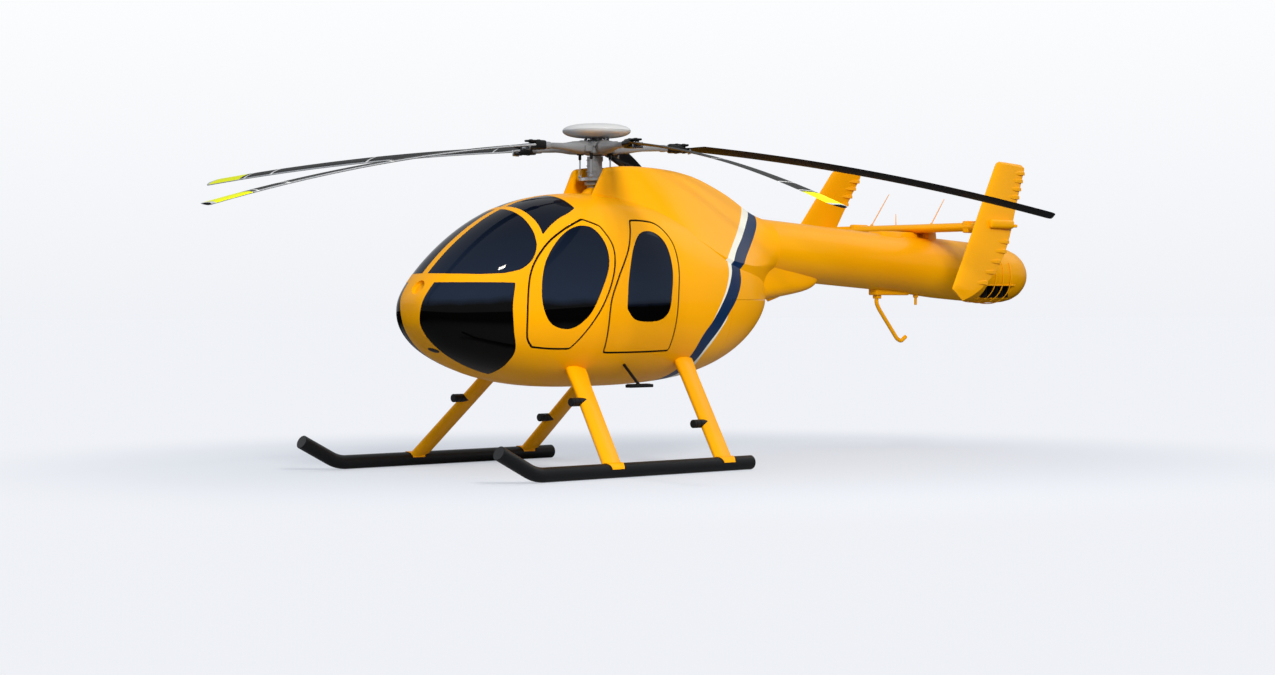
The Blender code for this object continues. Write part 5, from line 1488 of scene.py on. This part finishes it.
def build_seats():
    """Two front seats and the rear bench, with their belts."""
    fronts = {}
    for side, sign in SIDES.items():
        cx = 0.32 * sign
        shell = block("seat_box", (cx - 0.215, -0.655, 0.958), (cx + 0.215, -0.245, 1.125), 0.020, 3)
        back = block("seat_back", (cx - 0.222, -0.272, 1.10), (cx + 0.222, -0.244, 1.835), 0.012, 3)
        settle(joined([shell, back], f"seat_shell_{side}"), "airframe", "trim")
        if side == "left":
            fronts["base"] = cushion("front_cushion", (cx - 0.205, -0.685, 1.135), (cx + 0.205, -0.385, 1.238), 0.010,
                                     (cx - 0.07, cx + 0.07))
            fronts["back"] = cushion("front_back", (cx - 0.205, -0.368, 1.245), (cx + 0.205, -0.285, 1.845), 0.010,
                                     (cx - 0.07, cx + 0.07))
            pieces = {key: copied(piece, f"seat_{key}_left") for key, piece in fronts.items()}
        else:
            pieces = {key: copied(piece, f"seat_{key}_right", mirror=True) for key, piece in fronts.items()}
        padded_piece(pieces["base"], "airframe", f"front_seat_{side}")
        padded_piece(pieces["back"], "airframe")
        build_belts(side, cx, -0.245, -0.383, 1.855, 1.25)
    for piece in fronts.values():
        bpy.data.objects.remove(piece)

    bench = block("bench_box", (-0.505, -0.055, 0.958), (0.505, 0.36, 1.125), 0.020, 3)
    rest = block("bench_back", (-0.51, 0.335, 1.10), (0.51, 0.363, 1.775), 0.012, 3)
    settle(joined([bench, rest], "bench_shell"), "airframe", "trim")
    base = cushion("rear_cushion_left", (0.012, -0.085, 1.135), (0.50, 0.215, 1.238), 0.010, (0.17, 0.34))
    back = cushion("rear_back_left", (0.012, 0.235, 1.245), (0.50, 0.318, 1.785), 0.010, (0.17, 0.34))
    padded_piece(copied(base, "rear_cushion_right", mirror=True), "airframe")
    padded_piece(copied(back, "rear_back_right", mirror=True), "airframe")
    padded_piece(base, "airframe", "rear_seat")
    padded_piece(back, "airframe")
    for side, sign in SIDES.items():
        build_belts(f"rear_{side}", 0.255 * sign, 0.362, 0.222, 1.79, 1.25)


def build_belts(name, cx, rear, front, top, seat):
    """Shoulder straps over the seat back and a lap belt on the cushion, with their buckle."""
    parts = []
    for way in (-1, 1):
        x = cx + way * 0.075
        path = [(x, rear - 0.012, top - 0.02), (x, rear - 0.03, top + 0.012), (x, front + 0.04, top + 0.010),
                (x, front - 0.004, top - 0.05), (x - way * 0.01, front - 0.008, 1.60), (x - way * 0.03, front - 0.012,
                seat + 0.10), (x - way * 0.05, front - 0.05, seat + 0.012)]
        parts.append(strap("shoulder", path, 0.042, (1, 0, 0)))
    path = [(cx + 0.205, front - 0.03, seat - 0.06), (cx + 0.19, front - 0.06, seat + 0.002),
            (cx + 0.10, front - 0.09, seat + 0.012), (cx, front - 0.10, seat + 0.014),
            (cx - 0.10, front - 0.09, seat + 0.012), (cx - 0.19, front - 0.06, seat + 0.002),
            (cx - 0.205, front - 0.03, seat - 0.06)]
    parts.append(strap("lap", path, 0.045, (0, 1, 0)))
    settle(joined(parts, f"belts_{name}"), "airframe", "webbing", angle=50)
    buckle = block(f"buckle_{name}", (cx - 0.03, front - 0.13, seat + 0.010), (cx + 0.03, front - 0.07, seat + 0.024),
                   0.005, 3)
    settle(buckle, "airframe", "steel")


def build_console():
    """Pedestal and panel with its dials, the sticks and the pedals."""
    parts = [block("pedestal", (-0.12, -1.49, 0.958), (0.12, -1.235, 1.33), 0.02, 3),
             block("panel_box", (-0.24, -1.485, 1.305), (0.24, -1.335, 1.545), 0.018, 3),
             block("panel_hood", (-0.25, -1.495, 1.538), (0.25, -1.305, 1.556), 0.007, 3)]
    settle(joined(parts, "console_finished"), "airframe", "panel", "instrument_console")
    rings = []
    faces = []
    hands = []
    for z, xs in ((1.475, (-0.19, -0.095, 0.0, 0.095, 0.19)), (1.375, (-0.19, -0.095, 0.0, 0.095, 0.19))):
        for n, x in enumerate(xs):
            place = Matrix.Translation((x, -1.335, z)) @ Matrix.Rotation(math.radians(-90), 4, "X")
            ring = turned("bezel", [(0.033, -0.003), (0.040, -0.003), (0.041, 0.004), (0.038, 0.007), (0.034, 0.006),
                                    (0.033, 0.002)], 32)
            face = turned("dial", [(0, -0.002), (0.0335, -0.002), (0.0335, 0.0015), (0, 0.0015)], 32)
            ring.data.transform(place)
            face.data.transform(place)
            rings.append(ring)
            faces.append(face)
            for k in range(8):
                tick = block("tick", (0.025, -0.0008, 0.0014), (0.031, 0.0008, 0.0022), 0.0002, 1)
                tick.data.transform(place @ Matrix.Rotation(math.pi / 4 * k, 4, "Z"))
                hands.append(tick)
            hand = block("hand", (-0.004, -0.001, 0.0018), (0.024, 0.001, 0.0028), 0.0004, 1)
            hand.data.transform(place @ Matrix.Rotation(2.1 * n + 9 * z, 4, "Z"))
            hands.append(hand)
    settle(joined(rings, "dial_rings"), "airframe", "trim", angle=50)
    settle(joined(faces, "dial_faces"), "airframe", "panel", angle=50)
    settle(joined(hands, "dial_hands"), "airframe", "lamp", angle=50)
    for side, sign in SIDES.items():
        cx = 0.32 * sign
        stick = rod("stick", bent([(cx, -0.99, 0.958), (cx, -0.99, 1.06), (cx, -0.90, 1.20), (cx, -0.915, 1.27)], 0.04),
                    0.011, 16)
        grip = rod("grip", [(cx, -0.905, 1.215), (cx, -0.905, 1.225), (cx, -0.912, 1.285), (cx, -0.915, 1.335),
                            (cx, -0.915, 1.345)], [0.013, 0.019, 0.017, 0.022, 0.014], 20)
        boot = turned("boot", [(0, 0.958), (0.055, 0.958), (0.050, 0.968), (0.034, 0.975), (0.036, 0.985),
                               (0.024, 0.992), (0.025, 1.002), (0.014, 1.012), (0, 1.012)], 28, (cx, -0.99))
        lever = rod("lever", bent([(0.045 * sign, -0.42, 0.99), (0.045 * sign, -0.75, 1.11),
                                   (0.045 * sign, -0.90, 1.15)], 0.05), 0.010, 16)
        hold = rod("hold", [(0.045 * sign, -0.80, 1.122), (0.045 * sign, -0.805, 1.123), (0.045 * sign, -0.905, 1.152),
                            (0.045 * sign, -0.91, 1.153)], [0.012, 0.018, 0.018, 0.012], 20)
        parts = [stick, grip, boot, lever, hold]
        for way in (-1, 1):
            x = cx + way * 0.095
            parts.append(rod("pedal_arm", bent([(x, -1.36, 0.958), (x, -1.40, 1.02), (x, -1.41, 1.08)], 0.02), 0.009,
                             12))
            parts.append(block("pedal", (x - 0.035, -1.42, 1.05), (x + 0.035, -1.405, 1.15), 0.005, 2))
        settle(joined(parts, f"controls_{side}"), "airframe", "black", angle=45)


def finish_frame_nodes():
    """Better finishes on the frame's own pieces that keep their shape."""
    for name, finish in (("cabin_floor", "carpet"), ("cabin_bulkhead", "trim"), ("control_tunnel", "trim"),
                         ("engine_block", "engine")):
        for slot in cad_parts[name].material_slots:
            slot.material = FINISH[finish]


def build_stage():
    """Pale floor, pale surroundings and soft studio lights."""
    deselect()
    bpy.ops.mesh.primitive_circle_add(vertices=96, radius=400, fill_type="NGON", location=(0, 0, -0.001))
    floor = bpy.context.active_object
    floor.name = "floor"
    made, tree, shader = new_finish("floor_paper", Roughness=0.95, Specular_IOR_Level=0.05)
    place = node(tree, "TexCoord", out="Object")
    reach = node(tree, "VectorMath", {0: place}, "Value", operation="LENGTH")
    away = node(tree, "MapRange", {"Value": reach, "From Min": 2.6, "From Max": 7.5}, "Result",
                interpolation_type="SMOOTHERSTEP")
    tone = node(tree, "TexNoise", {"Vector": place, "Scale": 0.15}, "Fac")
    near = node(tree, "Mix", {0: tone, 6: linear("#A2A6AD"), 7: linear("#A5A9B0")}, 2, data_type="RGBA")
    colour = node(tree, "Mix", {0: away, 6: near, 7: linear("#000000")}, 2, data_type="RGBA")
    tree.links.new(colour, shader.inputs["Base Color"])
    glow = node(tree, "Mix", {0: away, 6: linear("#A4A8AF"), 7: linear("#EEF0F5")}, 2, data_type="RGBA")
    tree.links.new(glow, shader.inputs["Emission Color"])
    tree.links.new(node(tree, "LightPath", out="Is Camera Ray"), shader.inputs["Emission Strength"])
    floor.data.materials.append(made)
    world = bpy.data.worlds.new("studio")
    world.use_nodes = True
    bpy.context.scene.world = world
    tree = world.node_tree
    height = node(tree, "SeparateXYZ", {"Vector": node(tree, "TexCoord", out="Generated")}, "Z")
    share = node(tree, "MapRange", {"Value": height, "From Min": -0.01, "From Max": 0.13}, "Result")
    colour = node(tree, "Mix", {0: share, 6: linear("#EFF1F6"), 7: linear("#FDFEFF")}, 2, data_type="RGBA")
    tree.links.new(colour, tree.nodes["Background"].inputs["Color"])
    seen = node(tree, "LightPath", out="Is Camera Ray")
    power = node(tree, "MapRange", {"Value": seen, "To Min": 0.58, "To Max": 1.0}, "Result")
    tree.links.new(power, tree.nodes["Background"].inputs["Strength"])
    for name, place, size, power, tint, glints in (
            ("key", (13.5, -7.0, 9.0), 3.6, 1950, "#FFF8EC", False),
            ("sun", (11.0, -3.0, 12.0), 0.8, 300, "#FFF8EC", True),
            ("fill", (-9.0, -8.0, 6.0), 6.0, 150, "#F2F6FF", True),
            ("back", (2.0, 12.0, 8.0), 6.0, 120, "#FFFFFF", True)):
        light = bpy.data.lights.new(name, "AREA")
        light.size = size
        light.energy = power
        light.color = linear(tint)[:3]
        lamp = bpy.data.objects.new(name, light)
        bpy.context.scene.collection.objects.link(lamp)
        lamp.location = place
        lamp.rotation_euler = (Vector((0, 0, 1.5)) - Vector(place)).to_track_quat("-Z", "Y").to_euler()
        lamp.visible_glossy = glints
    bpy.context.scene.view_settings.view_transform = "Standard"


place_camera()
build_pod()
build_fairing()
build_boom()
build_drum()
build_tail()
build_gear()
build_head()
build_blades()
build_seats()
build_console()
finish_frame_nodes()
build_stage()
